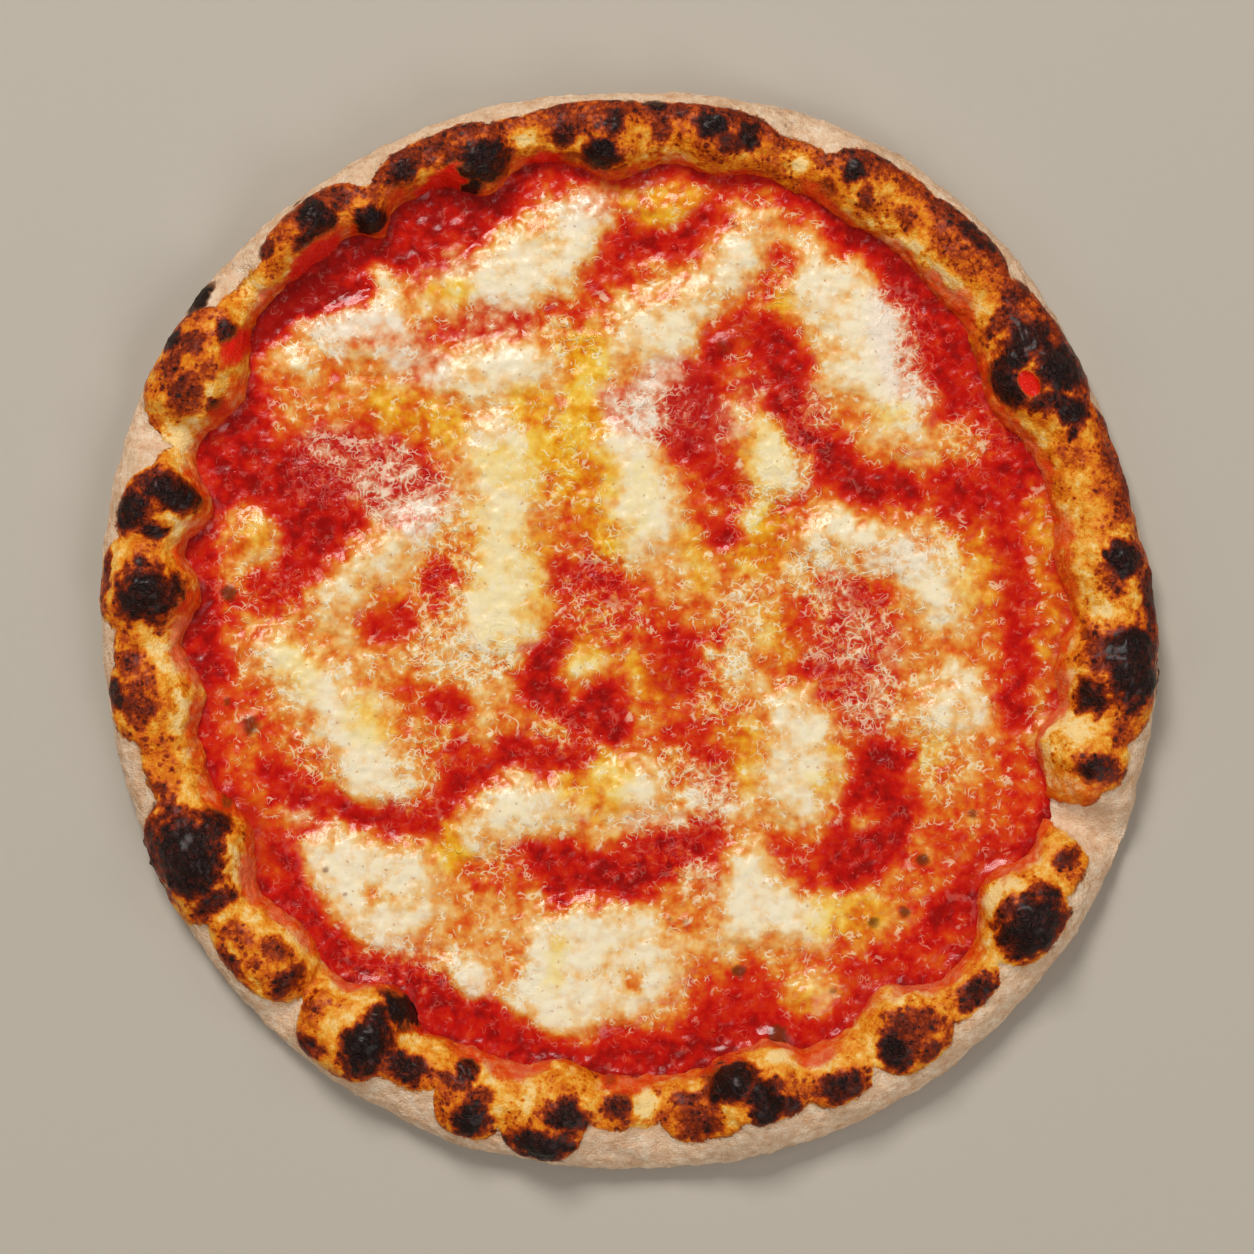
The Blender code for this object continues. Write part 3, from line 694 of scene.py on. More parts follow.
def crust_look():
    look = Look("browned_crust")
    burn = look.carried("burn")
    edge = look.carried("edge")
    stain = look.carried("stain")
    pale = look.carried("pale")
    broad = look.grain(7.0, 3.0)
    middle = look.grain(2.6, 3.0, 0.6, 0.31)
    fine = look.grain(0.9, 2.0, 0.6, 0.57)
    # scattered brown spots, larger and closer where the crust is browner
    spots = look.cells(2.6) + (look.cells(2.6, output="Color") - 0.5) * 0.35
    small = look.cells(1.5, shift=0.2) + (look.cells(1.5, output="Color", shift=0.2) - 0.5) * 0.3
    spot = look.step(spots + fine * 0.5, 0.36, 0.12) * look.step(burn + broad * 0.9, 0.06, 0.34)
    dot = look.step(small + fine * 0.3, 0.3, 0.1) * look.step(burn + broad * 0.9, 0.05, 0.35)
    crackle = look.cells(2.3, "DISTANCE_TO_EDGE", shift=0.7)
    net = look.step(crackle, 0.26, 0.03) * look.step(burn + broad * 0.9, 0.12, 0.42)
    skin = burn + broad * 0.6 + middle * 0.5 + fine * 0.2 - pale * 0.3
    depth = skin + spot * 0.28 + dot * 0.22 + net * 0.12
    colour = look.ramp(depth * 0.8, [
        (0.00, rgb(252, 214, 142)), (0.09, rgb(246, 178, 66)), (0.18, rgb(234, 136, 18)),
        (0.28, rgb(212, 96, 6)), (0.38, rgb(170, 60, 4)), (0.49, rgb(126, 38, 4)),
        (0.61, rgb(92, 25, 5)), (0.73, rgb(54, 15, 5)), (0.90, rgb(26, 9, 6)),
    ])
    wet = look.step(stain + middle * 0.5 + fine * 0.3, 0.15, 0.95)
    sauce = look.ramp(stain + middle * 0.5, [
        (0.2, rgb(230, 128, 30)), (0.6, rgb(222, 80, 12)), (1.0, rgb(228, 28, 6)),
    ])
    colour = look.blend((wet * 0.88 + look.step(stain, 1.0, 1.3) * 0.12).held(), colour, sauce)
    # pale floured side, beyond the edge of the browned skin
    ragged = edge + middle * 2.6 + fine * 2.0
    bare = look.step(ragged, 0.0, 0.8)
    flour = look.ramp(look.grain(3.5, 4.0, 0.65, 0.9) + 0.5 + fine * 0.4, [
        (0.25, rgb(214, 164, 122)), (0.5, rgb(236, 198, 162)), (0.75, rgb(250, 228, 200)),
    ])
    shade = look.step(look.grain(9.0, 3.0, 0.5, 0.33), 0.0, 0.3)
    flour = look.blend(shade * 0.45, flour, rgb(204, 146, 96))
    toast = burn + middle * 0.5 + fine * 0.2
    toasted = look.step(toast, 0.5, 0.95)
    flour = look.blend(look.step(toast, 0.3, 0.6) * 0.8, flour, rgb(128, 66, 24))
    flour = look.blend(toasted * 0.97, flour, rgb(30, 14, 8))
    speck = look.step(small, 0.06, 0.0)
    flour = look.blend(speck * 0.5, flour, rgb(120, 78, 50))
    colour = look.blend(bare, colour, flour)
    rim_line = look.step(abs(ragged), 0.9, 0.1) * look.step(broad, -0.1, 0.1)
    colour = look.blend(rim_line * 0.5, colour, rgb(110, 52, 18))
    burnt = look.step(depth, 0.66, 0.95)
    roughness = 0.42 - burnt * 0.02 - wet * 0.14 + bare * 0.42 + fine * 0.3
    height = (middle * 0.6 + fine * 0.4 + look.step(crackle, 0.0, 0.2) * (burnt * 0.2 + net * 0.15)
              + look.grain(0.45, 1.0, 0.5, 0.15) * (bare * 0.2 + 0.12) - spot * 0.14 - dot * 0.06)
    look.links.new((burnt * 0.1 + wet * 0.12 + 0.05).socket, look.shader.inputs["Coat Weight"])
    return look.finish(colour, roughness, look.relief(height, 1.0), Specular_IOR_Level=0.14,
                       Coat_Roughness=0.26)


def topping_look(name, lift=0.0):
    """Sauce to melted cheese by how much cheese covers it; lift raises the cover, as on threads."""
    look = Look(name)
    cover = look.carried("cover")
    fat = look.carried("fat")
    haze = look.carried("haze")
    threads = look.carried("threads")
    scorch = look.carried("scorch")
    broad = look.grain(5.0, 2.0, 0.5)
    middle = look.grain(2.2, 2.0, 0.5, 0.3)
    fine = look.grain(0.8, 1.0, 0.5, 0.6)
    bare = look.step(cover, 0.34, 0.1)
    rich = look.step(cover, 0.7, 0.95)
    # pale curls of melted threads, and the thin lines around small bubbles
    line_a = look.step(abs(look.grain(4.2, 0.0, 0.5, 0.11, 0.9)), 0.05, 0.012)
    line_b = look.step(abs(look.grain(3.0, 0.0, 0.5, 0.45, 1.0)), 0.05, 0.012)
    gate = look.step(look.grain(3.6, 1.0, 0.5, 0.77) + threads * 0.2, 0.0, 0.16)
    lines = line_a.over(line_b) * gate * (1.0 - bare * 0.85) * (1.0 - rich * 0.5)
    curl = look.step(abs(look.grain(5.0, 0.0, 0.5, 0.91, 1.0)), 0.13, 0.0) * look.step(middle, -0.2, 0.06)
    blotch = look.step(middle + fine * 0.4, -0.1, 0.45)
    lace = (curl * 0.75 + blotch * 0.5) * look.step(threads + broad * 0.9, 0.2, 0.8)
    mottle = (broad * 0.9 + middle * 0.3 + fine * 0.06) * (1.0 + haze * 0.4)
    depth = cover + mottle * (1.0 - bare * 0.55 - rich * 0.55) + lines * 0.2 + lace * 0.24 + lift
    colour = look.ramp(depth, [
        (0.00, rgb(152, 4, 0)), (0.10, rgb(198, 11, 1)), (0.21, rgb(215, 40, 6)),
        (0.33, rgb(222, 74, 10)), (0.46, rgb(228, 112, 28)), (0.60, rgb(238, 156, 70)),
        (0.76, rgb(244, 196, 128)), (0.93, rgb(251, 236, 204)),
    ])
    golden = look.ramp(depth, [
        (0.10, rgb(198, 40, 0)), (0.35, rgb(222, 108, 0)), (0.60, rgb(242, 174, 8)),
        (0.80, rgb(250, 208, 66)), (1.00, rgb(248, 222, 134)),
    ])
    cool = look.ramp(depth, [
        (0.05, rgb(176, 6, 8)), (0.28, rgb(196, 36, 26)), (0.46, rgb(216, 100, 78)),
        (0.66, rgb(234, 176, 154)), (0.90, rgb(246, 228, 214)),
    ])
    colour = look.blend((fat + middle * 0.8 + broad * 0.6 + 0.06).held() * 0.85, colour, golden)
    colour = look.blend((haze + broad * 0.6 - 0.05).held() * 0.75, colour, cool)
    colour = look.blend((lines * 0.45).held(), colour, rgb(252, 232, 204))
    dark = look.step(scorch + middle * 0.5, 0.25, 0.8)
    colour = look.blend(dark * 0.85, colour, rgb(104, 42, 4))
    pits = look.cells(3.4, shift=0.4)
    pit = look.step(pits, 0.16, 0.05) * look.step(cover, 0.4, 0.7)
    colour = look.blend(pit * 0.5, colour, rgb(200, 112, 36))
    roughness = 0.3 - bare * 0.04 + fine * 0.1
    swell = look.grain(3.4, 0.0, 0.5, 0.66)
    height = swell * 1.2 + middle * 0.35 + lines * 0.12 + lace * 0.3 - pit * 0.2
    return look.finish(colour, roughness, look.relief(height, 0.65), Specular_IOR_Level=0.24,
                       Coat_Weight=0.22, Coat_Roughness=0.06)


def underside_look():
    look = Look("floured_underside")
    broad = look.grain(22.0, 3.0)
    middle = look.grain(6.0, 4.0, 0.6, 0.4)
    fine = look.grain(1.2, 2.0, 0.6, 0.2)
    spots = look.cells(13.0)
    burn = look.step(spots + middle * 0.5, 0.42, 0.12) * look.step(broad + 0.15, 0.0, 0.25)
    colour = look.ramp(middle + broad * 0.8 + fine * 0.3 + 0.5, [
        (0.2, rgb(176, 118, 70)), (0.45, rgb(212, 172, 128)), (0.75, rgb(232, 208, 176)),
    ])
    colour = look.blend(burn * 0.9, colour, rgb(64, 40, 30))
    height = middle * 0.5 + fine * 0.4
    return look.finish(colour, 0.85 + fine * 0.2, look.relief(height, 0.6))


def floor_look(colour):
    look = Look("pale_floor")
    fine = look.grain(3.0, 4.0, 0.6)
    tone = look.blend((0.5 + fine * 0.6).held(), tuple(0.93 * part for part in colour) + (1.0,),
                      tuple(colour) + (1.0,))
    return look.finish(tone, 0.8 + fine * 0.1)


# ---------------------------------------------------------------- rim of the crust


def brown_edge(angles):
    """Radius that the browned skin reaches at each angle."""
    reach = np.full(len(angles), LOWEST_LOBE)
    for centre, half_width, radius in BROWN_LOBES:
        drop = LOBE_DROP * np.abs(turned(angles, centre) / half_width) ** 4
        reach = np.maximum(reach, radius - drop)
    return reach


def patch_distance(angles, radii, patch):
    """Distance from an oval patch's centre, 1 on its edge."""
    centre, radius, half_length, half_width = patch[:4]
    sideways = np.radians(turned(angles, centre)) * radius / half_length
    return np.hypot(sideways, (radii - radius) / half_width)


def rim_grid(steps, rings):
    """Points of the rim from the sauce's edge over the crest to the underside, ring by ring."""
    angles = np.arange(steps) * 360.0 / steps
    known = around(SECTIONS, angles)
    last = known.shape[1] - 1
    widths = np.ones(last)
    widths[-2:] = 1.4
    at = np.interp(np.linspace(0, widths.sum(), rings), np.concatenate([[0.0], np.cumsum(widths)]),
                   np.arange(last + 1))
    grid = []
    for place in at:
        index = min(int(place), last - 1)
        near = [known[:, min(max(index + step, 0), last)] for step in (-1, 0, 1, 2)]
        radius, height = cubic(*near, place - index).T
        turn = np.radians(angles)
        grid.append(np.column_stack([radius * np.cos(turn), radius * np.sin(turn), height]))
    return angles, np.array(grid)


def grid_normals(grid):
    """Outward direction at each point of the rim's grid."""
    sideways = np.roll(grid, -1, axis=1) - np.roll(grid, 1, axis=1)
    across = np.gradient(grid, axis=0)
    normals = np.cross(sideways, across)
    normals /= np.maximum(np.linalg.norm(normals, axis=2, keepdims=True), 1e-9)
    return -normals


class CrustSettings(bpy.types.PropertyGroup):
    steps: IntProperty(name="Steps around", description="Faces around the rim", default=1000, min=90)
    rings: IntProperty(name="Steps across", description="Faces across the rim", default=98, min=20)
    lumps: FloatProperty(name="Lumps", description="Height of the crust's lumps", default=0.0009,
                         unit="LENGTH")
    wrinkles: FloatProperty(name="Wrinkles", description="Height of the skin's fine wrinkles",
                            default=0.00032, unit="LENGTH")
    bubbles: FloatProperty(name="Bubbles", description="Height of the skin's small bubbles",
                           default=0.0007, unit="LENGTH")
    blisters: FloatProperty(name="Blisters", description="Strength of the burnt blisters", default=1.0,
                            subtype="FACTOR", min=0.0, max=2.0)
    ledge: FloatProperty(name="Ledge", description="Step from the browned skin to the pale side",
                         default=0.0006, unit="LENGTH")


class PIZZA_OT_crust(bpy.types.Operator):
    """Builds the rim of the crust with its lumps, blisters and browning"""

    bl_idname = "pizza.crust"
    bl_label = "Crust"

    def execute(self, context):
        settings = context.scene.pizza_crust
        angles, grid = rim_grid(settings.steps, settings.rings)
        normals = grid_normals(grid).reshape(-1, 3)
        points = grid.reshape(-1, 3)
        turns = np.tile(angles, len(grid))
        # patterns are laid out as they look from the camera's height
        radii = np.hypot(points[:, 0], points[:, 1]) * (1.0 + (points[:, 2] - WIDEST_HEIGHT) / EYE_HEIGHT)
        shape = self.relief(settings, points, turns, radii)
        upward = smooth(0.2, 5.0, points[:, 2])
        points = points + normals * (shape["rise"] * upward)[:, None]
        points[:, 2] = np.maximum(points[:, 2], 0.0)
        steps = len(angles)
        faces = ring_faces(len(grid), steps)
        last = len(points) - steps
        faces.extend((last + step, step, (step + 1) % steps, last + (step + 1) % steps)
                     for step in range(steps))
        made = mesh_object("rim_crust", points, faces, shape["carried"])
        self.unfold_rows(made, turns, len(grid), steps)
        settle(made, ["dough"], crust_look())
        return {"FINISHED"}

    def relief(self, settings, points, turns, radii):
        """How far each point rises, and the numbers that its look is made from."""
        broad = noise_at(points, 15.0, 1, 2)
        middle = noise_at(points, 6.0, 2, 2)
        fine = noise_at(points, 2.4, 3, 2)
        ragged = middle * 0.6 + fine * 0.9
        crest = around(CREST, turns)
        reach = brown_edge(turns + fine * 0.25)
        low_side = np.where(radii > crest, 8.0 - points[:, 2] + ragged * 1.4, -EDGE_LIMIT)
        edge = np.maximum(radii - reach + ragged * 0.8, low_side)
        edge = np.where((radii < crest - 4.0) & (reach > crest - 3.0), -EDGE_LIMIT, edge)
        torn = middle * 0.35 + fine * 0.3
        burn = self.strongest(turns, radii, BURNS, STRENGTH, torn, (1.65, 0.42))
        rise = self.strongest(turns, radii, BURNS, RISE, torn, (1.2, 0.0))
        burn *= smooth(4.0, 6.5, points[:, 2] + ragged)
        # darker past the crest, and more so along the browned skin's outer edge from about 5 to 115
        # degrees: partly deeper browning, partly painted shade where the rim curves down
        toast = 0.13 + 0.1 * smooth(-8.0, 8.0, radii - crest) + 0.1 * broad
        toast += 0.08 * smooth(80.0, 40.0, np.abs(turned(turns, 80.0)))
        outer_brown_and_shade = smooth(-7.0, -1.0, edge) * smooth(0.6, -0.6, edge)
        toast += 0.2 * outer_brown_and_shade * smooth(80.0, 55.0, np.abs(turned(turns, 60.0)))
        burn = np.maximum(burn, np.clip(toast, 0.02, 0.6))
        pale = self.strongest(turns, radii, PALE_PLACES, STRENGTH, fine * 0.2, (1.5, 0.4))
        stain = self.strongest(turns, radii, STAINS, STRENGTH, fine * 0.2, (1.5, 0.4))
        from_sauce = radii - around(INNER, turns) + broad * 5.0 + middle * 1.6 + fine * 0.8
        stain = np.maximum(stain, 0.85 * smooth(7.0, 0.0, from_sauce))
        stain *= 1.0 - 0.85 * smooth(0.6, 0.9, burn)
        window = patch_distance(turns, radii, WINDOW)
        stain = np.maximum(stain, 1.9 * smooth(1.1, 0.8, window))
        burn *= smooth(0.8, 1.1, window)
        rise *= smooth(0.9, 1.5, window)
        crackle = 1.0 - np.abs(noise_at(points, 3.2, 6, 2)) * 3.0
        bubbles = bubble_at(points, 6.0, 4) + 0.5 * bubble_at(points, 3.0, 5)
        scorched = smooth(0.7, 0.9, burn)
        height = (settings.lumps / MM * (broad * 0.7 + middle * 0.5)
                  + settings.wrinkles / MM * fine * (1.0 + scorched)
                  + settings.bubbles / MM * bubbles * smooth(1.0, -1.5, edge)
                  + settings.blisters * rise + 0.22 * crackle * scorched
                  - 1.6 * smooth(1.1, 0.7, window)
                  - settings.ledge / MM * smooth(-0.6, 0.8, edge))
        edge = np.clip(edge, -EDGE_LIMIT, EDGE_LIMIT)
        return {"rise": height,
                "carried": {"burn": burn, "edge": edge, "stain": stain, "pale": pale}}

    def strongest(self, turns, radii, patches, column, torn, fade):
        """Strongest patch at each place, by one of the patches' numbers, with torn edges."""
        strength = np.zeros(len(turns))
        for patch in patches:
            near = np.abs(turned(turns, patch[0])) < PATCH_WINDOW
            away = patch_distance(turns[near], radii[near], patch) + torn[near]
            strength[near] = np.maximum(strength[near], patch[column] * smooth(*fade, away))
        return strength

    def unfold_rows(self, made, turns, rings, steps):
        """Lays the rim out as four strips, one above the other."""
        rows = 4
        share = turns / 360.0 * rows
        row = np.minimum(share.astype(int), rows - 1)
        up = np.repeat(np.linspace(0.02, 0.98, rings), steps)
        layer = made.data.uv_layers.new(name="OFBake")
        loops = np.zeros(len(made.data.loops), int)
        made.data.loops.foreach_get("vertex_index", loops)
        corners = loops.reshape(-1, 4)
        face_row = row[corners].min(axis=1)
        closing = (turns[corners].max(axis=1) - turns[corners].min(axis=1)) > 180.0
        face_row = np.where(closing, rows - 1, face_row)
        across = share[corners] - face_row[:, None]
        across = np.where(closing[:, None] & (turns[corners] < 180.0), across + rows, across)
        height = up[corners]
        height[-steps:] = 0.985 + 0.01 * (height[-steps:] < 0.5)
        places = np.stack([0.004 + 0.992 * across, (face_row[:, None] + height) / rows], axis=2)
        layer.data.foreach_set("uv", places.astype(np.float32).ravel())


class PIZZA_OT_underside(bpy.types.Operator):
    """Builds the floured underside that closes the crust"""

    bl_idname = "pizza.underside"
    bl_label = "Underside"

    def execute(self, context):
        steps = 360
        rings = 60
        angles = np.arange(steps) * 360.0 / steps
        foot = around(FOOT, angles)
        turn = np.radians(angles)
        points = []
        for share in np.linspace(1.0, 0.02, rings):
            points.append(np.column_stack([foot * share * np.cos(turn), foot * share * np.sin(turn),
                                           np.zeros(steps)]))
        points = np.vstack(points)
        radii = np.hypot(points[:, 0], points[:, 1])
        hollow = 0.35 + 0.35 * noise_at(points, 24.0, 8, 3)
        points[:, 2] = np.clip(hollow, 0.0, 0.8) * smooth(0.0, 14.0, np.tile(foot, rings) - radii)
        faces = ring_faces(rings, steps)
        faces.append(tuple((rings - 1) * steps + step for step in range(steps))[::-1])
        shown = len(faces)
        points = np.vstack([points, [0.0, 0.0, UNDERSIDE_PEAK]])
        faces.extend((step, (step + 1) % steps, len(points) - 1) for step in range(steps))
        made = mesh_object("crust_underside", points, faces, {})
        unfold(made, points[:, :2] / UNDERSIDE_SHEET + 0.5, shown)
        settle(made, ["dough"], underside_look())
        return {"FINISHED"}


# ---------------------------------------------------------------- sauce and cheese


def bell_blur(values, width, pitch):
    """A square table of values blurred by a width in millimetres."""
    reach = int(3.0 * width / pitch)
    weights = np.exp(-0.5 * (np.arange(-reach, reach + 1) * pitch / width) ** 2)
    weights /= weights.sum()
    for axis in (0, 1):
        padded = np.pad(values, [(reach, reach) if side == axis else (0, 0) for side in (0, 1)], "edge")
        values = sum(weight * np.take(padded, range(shift, shift + values.shape[axis]), axis)
                     for shift, weight in enumerate(weights))
    return values


@functools.lru_cache(maxsize=1)
def topping_map():
    """Tables over the whole pizza of what covers it, MAP_PITCH apart from -MAP_REACH on."""
    line = np.arange(-MAP_REACH, MAP_REACH + MAP_PITCH / 2, MAP_PITCH)
    x, y = np.meshgrid(line, line)
    places = np.column_stack([x.ravel(), y.ravel()])
    points = flat_points(places)
    warp = np.column_stack([noise_at(points, 9.0, 11, 3), noise_at(points, 9.0, 12, 3)])
    warp_fine = np.column_stack([noise_at(points, 4.6, 13, 2), noise_at(points, 4.6, 18, 2)])
    bent = places + warp * 3.0 + warp_fine * 2.0
    turns = np.degrees(np.arctan2(places[:, 1], places[:, 0]))
    inward = around(INNER, turns) - np.hypot(bent[:, 0], bent[:, 1])
    mottle = noise_at(points, 5.5, 17, 3)
    cover = 0.4 + 0.16 * noise_at(points, 12.0, 14, 2)
    cover = painted(cover, bent, THIN_CHEESE, 3.5)
    ring = smooth(4.0, -4.0, inward - around(BARE_RING, turns))
    shadow = 0.14 - 0.1 * smooth(3.5, 0.0, inward) + 0.14 * mottle
    cover = cover * (1.0 - ring) + shadow * ring
    depth = np.full(len(places), -30.0)
    for outline in POOLS.values():
        low, high = outline.min(axis=0) - 14.0, outline.max(axis=0) + 14.0
        near = np.all((bent > low) & (bent < high), axis=1)
        depth[near] = np.maximum(depth[near], depth_inside(bent[near], outline))
    ragged = depth + 3.4 * mottle
    creamy = 0.62 + 0.27 * smooth(0.0, 8.0, depth) + 0.16 * noise_at(points, 7.0, 15, 3)
    around_pools = smooth(-9.5, 3.0, ragged)
    cover = cover * (1.0 - around_pools) + creamy * around_pools
    cover = painted(cover, bent, BARE_SAUCE, 3.0)
    core = smooth(-1.5, 6.0, ragged)
    cover = cover * (1.0 - core) + creamy * core
    cover = painted(cover, bent, SPOTS, 1.8)
    tables = {"cover": cover, "fat": gathered(bent, FAT, 3.0), "haze": gathered(bent, HAZE, 3.5),
              "threads": gathered(bent, THREADS, 4.0), "depth": depth, "inward": inward}
    size = len(line)
    tables = {key: values.reshape(size, size) for key, values in tables.items()}
    tables["cover"] = bell_blur(tables["cover"], 1.5, MAP_PITCH)
    return tables


def looked_up(table, places):
    """Values of a table at places, evened out between its entries."""
    at = np.clip((places + MAP_REACH) / MAP_PITCH, 0.0, len(table) - 1.001)
    column, row = at.astype(int).T
    right, up = (at - at.astype(int)).T
    low = table[row, column] * (1.0 - right) + table[row, column + 1] * right
    high = table[row + 1, column] * (1.0 - right) + table[row + 1, column + 1] * right
    return low * (1.0 - up) + high * up


def topping_fields(places):
    """Numbers that the topping's look and shape are made from, at places in millimetres."""
    fine = noise_at(flat_points(places), 2.8, 13, 3)
    bent = places + np.column_stack([fine, -fine]) * 0.7
    fields = {key: looked_up(table, bent) for key, table in topping_map().items()}
    fields["cover"] = np.clip(fields["cover"] + 0.05 * fine, -0.2, 1.1)
    scorch = np.zeros(len(places))
    dome = np.zeros(len(places))
    for x, y, radius, strength in SCORCHES:
        away = np.hypot(places[:, 0] - x, places[:, 1] - y) / radius + fine * 0.2
        scorch = np.maximum(scorch, strength * smooth(1.3, 0.3, away))
        dome = np.maximum(dome, smooth(1.3, 0.0, away) * radius * 0.22)
    return {**fields, "scorch": scorch, "dome": dome, "fine": fine}


def surface_height(places, fields):
    """Height of the sauce with its thin cheese."""
    lumps = noise_at(flat_points(places), 7.0, 16, 3)
    cheese = smooth(0.15, 0.8, fields["cover"])
    return (SAUCE_TOP + 0.75 * cheese + 0.38 * lumps + 0.16 * fields["fine"] * (0.4 + cheese)
            + fields["dome"])


def pool_rise(full, own):
    """How far a pool stands over the sauce, from the depth inside its own outline."""
    return full * smooth(-3.0, 8.0, own)


def carried(fields):
    return {key: fields[key] for key in ("cover", "fat", "haze", "threads", "scorch")}


def scattered(chance, count, reach):
    """Places spread evenly by chance over a disc."""
    places = []
    for _ in range(count):
        angle = chance.uniform(0.0, 2.0 * math.pi)
        radius = reach * math.sqrt(chance.random())
        places.append((radius * math.cos(angle), radius * math.sin(angle)))
    return np.array(places)


def square_grid(low, high, pitch):
    """Places of a square grid and the number of columns and rows."""
    columns = int((high[0] - low[0]) / pitch) + 2
    rows = int((high[1] - low[1]) / pitch) + 2
    x, y = np.meshgrid(low[0] + np.arange(columns) * pitch, low[1] + np.arange(rows) * pitch)
    return np.column_stack([x.ravel(), y.ravel()]), columns, rows


def kept_cells(keep, columns, rows):
    """Faces of a square grid whose corners are all kept, and their vertices' new numbers."""
    start = (np.arange(rows - 1)[:, None] * columns + np.arange(columns - 1)).ravel()
    cells = np.column_stack([start, start + 1, start + columns + 1, start + columns])
    cells = cells[keep[cells].all(axis=1)]
    used = np.unique(cells)
    numbers = np.zeros(len(keep), int)
    numbers[used] = np.arange(len(used))
    return used, numbers[cells]


class ToppingSettings(bpy.types.PropertyGroup):
    sauce_pitch: FloatProperty(name="Sauce grid", description="Size of the sauce's faces",
                               default=0.00088, unit="LENGTH", min=0.0004)
    pool_pitch: FloatProperty(name="Cheese grid", description="Size of the cheese's faces",
                              default=0.0006, unit="LENGTH", min=0.0003)
    pool_rise: FloatProperty(name="Cheese rise", description="Height of the pools over the sauce",
                             default=0.0018, unit="LENGTH")
    thread_count: IntProperty(name="Threads", description="Most fine threads of cheese to lay",
                              default=240, min=0)
    bead_count: IntProperty(name="Oil beads", description="Most small beads of oil to lay", default=260,
                            min=0)


class PIZZA_OT_sauce(bpy.types.Operator):
    """Builds the layer of tomato sauce with its thin film of cheese"""

    bl_idname = "pizza.sauce"
    bl_label = "Tomato sauce"

    def execute(self, context):
        pitch = context.scene.pizza_topping.sauce_pitch / MM
        reach = INNER.max() + UNDER_RIM + 0.5
        places, columns, rows = square_grid((-reach, -reach), (reach, reach), pitch)
        turns = np.degrees(np.arctan2(places[:, 1], places[:, 0]))
        under_rim = np.hypot(places[:, 0], places[:, 1]) - around(INNER, turns)
        keep = under_rim < UNDER_RIM
        used, faces = kept_cells(keep, columns, rows)
        places = places[used]
        fields = topping_fields(places)
        wall = around(SECTIONS[:, 3, 1], turns[used]) - SAUCE_TOP
        climb = 0.09 * wall * smooth(-4.5, 0.0, under_rim[used])
        dip = 1.2 * smooth(UNDER_RIM / 2.0, UNDER_RIM, under_rim[used])
        heights = surface_height(places, fields) + climb - dip
        points, closed, numbers = closed_below(np.column_stack([places, heights]), faces.tolist(),
                                               carried(fields), SAUCE_BOTTOM)
        made = mesh_object("tomato_layer", points, closed, numbers)
        unfold(made, points[:, :2] / (2.0 * reach) + 0.5, len(faces))
        settle(made, ["tomato_sauce"], topping_look("sauce_and_thin_cheese"))
        return {"FINISHED"}


class PIZZA_OT_mozzarella(bpy.types.Operator):
    """Builds each pool of melted mozzarella on the sauce"""

    bl_idname = "pizza.mozzarella"
    bl_label = "Mozzarella"

    def execute(self, context):
        settings = context.scene.pizza_topping
        look = topping_look("melted_mozzarella")
        for name, outline in POOLS.items():
            self.pool(name, outline, settings, look)
        return {"FINISHED"}

    def pool(self, name, outline, settings, look):
        border = POOL_MARGIN + 3.0
        low, high = outline.min(axis=0) - border, outline.max(axis=0) + border
        places, columns, rows = square_grid(low, high, settings.pool_pitch / MM)
        keep = depth_inside(places, outline) > -POOL_MARGIN
        used, faces = kept_cells(keep, columns, rows)
        places = places[used]
        fields = topping_fields(places)
        own = depth_inside(places, outline)
        rise = pool_rise(settings.pool_rise / MM, own)
        sink = 0.5 * smooth(-0.9, -POOL_MARGIN, own)
        heights = surface_height(places, fields) + rise - sink
        points, closed, numbers = closed_below(np.column_stack([places, heights]), faces.tolist(),
                                               carried(fields), SAUCE_TOP - POOL_DEPTH)
        made = mesh_object("melted_" + name, points, closed, numbers)
        unfold(made, (points[:, :2] - low) / (high - low).max(), len(faces))
        settle(made, [name], look)


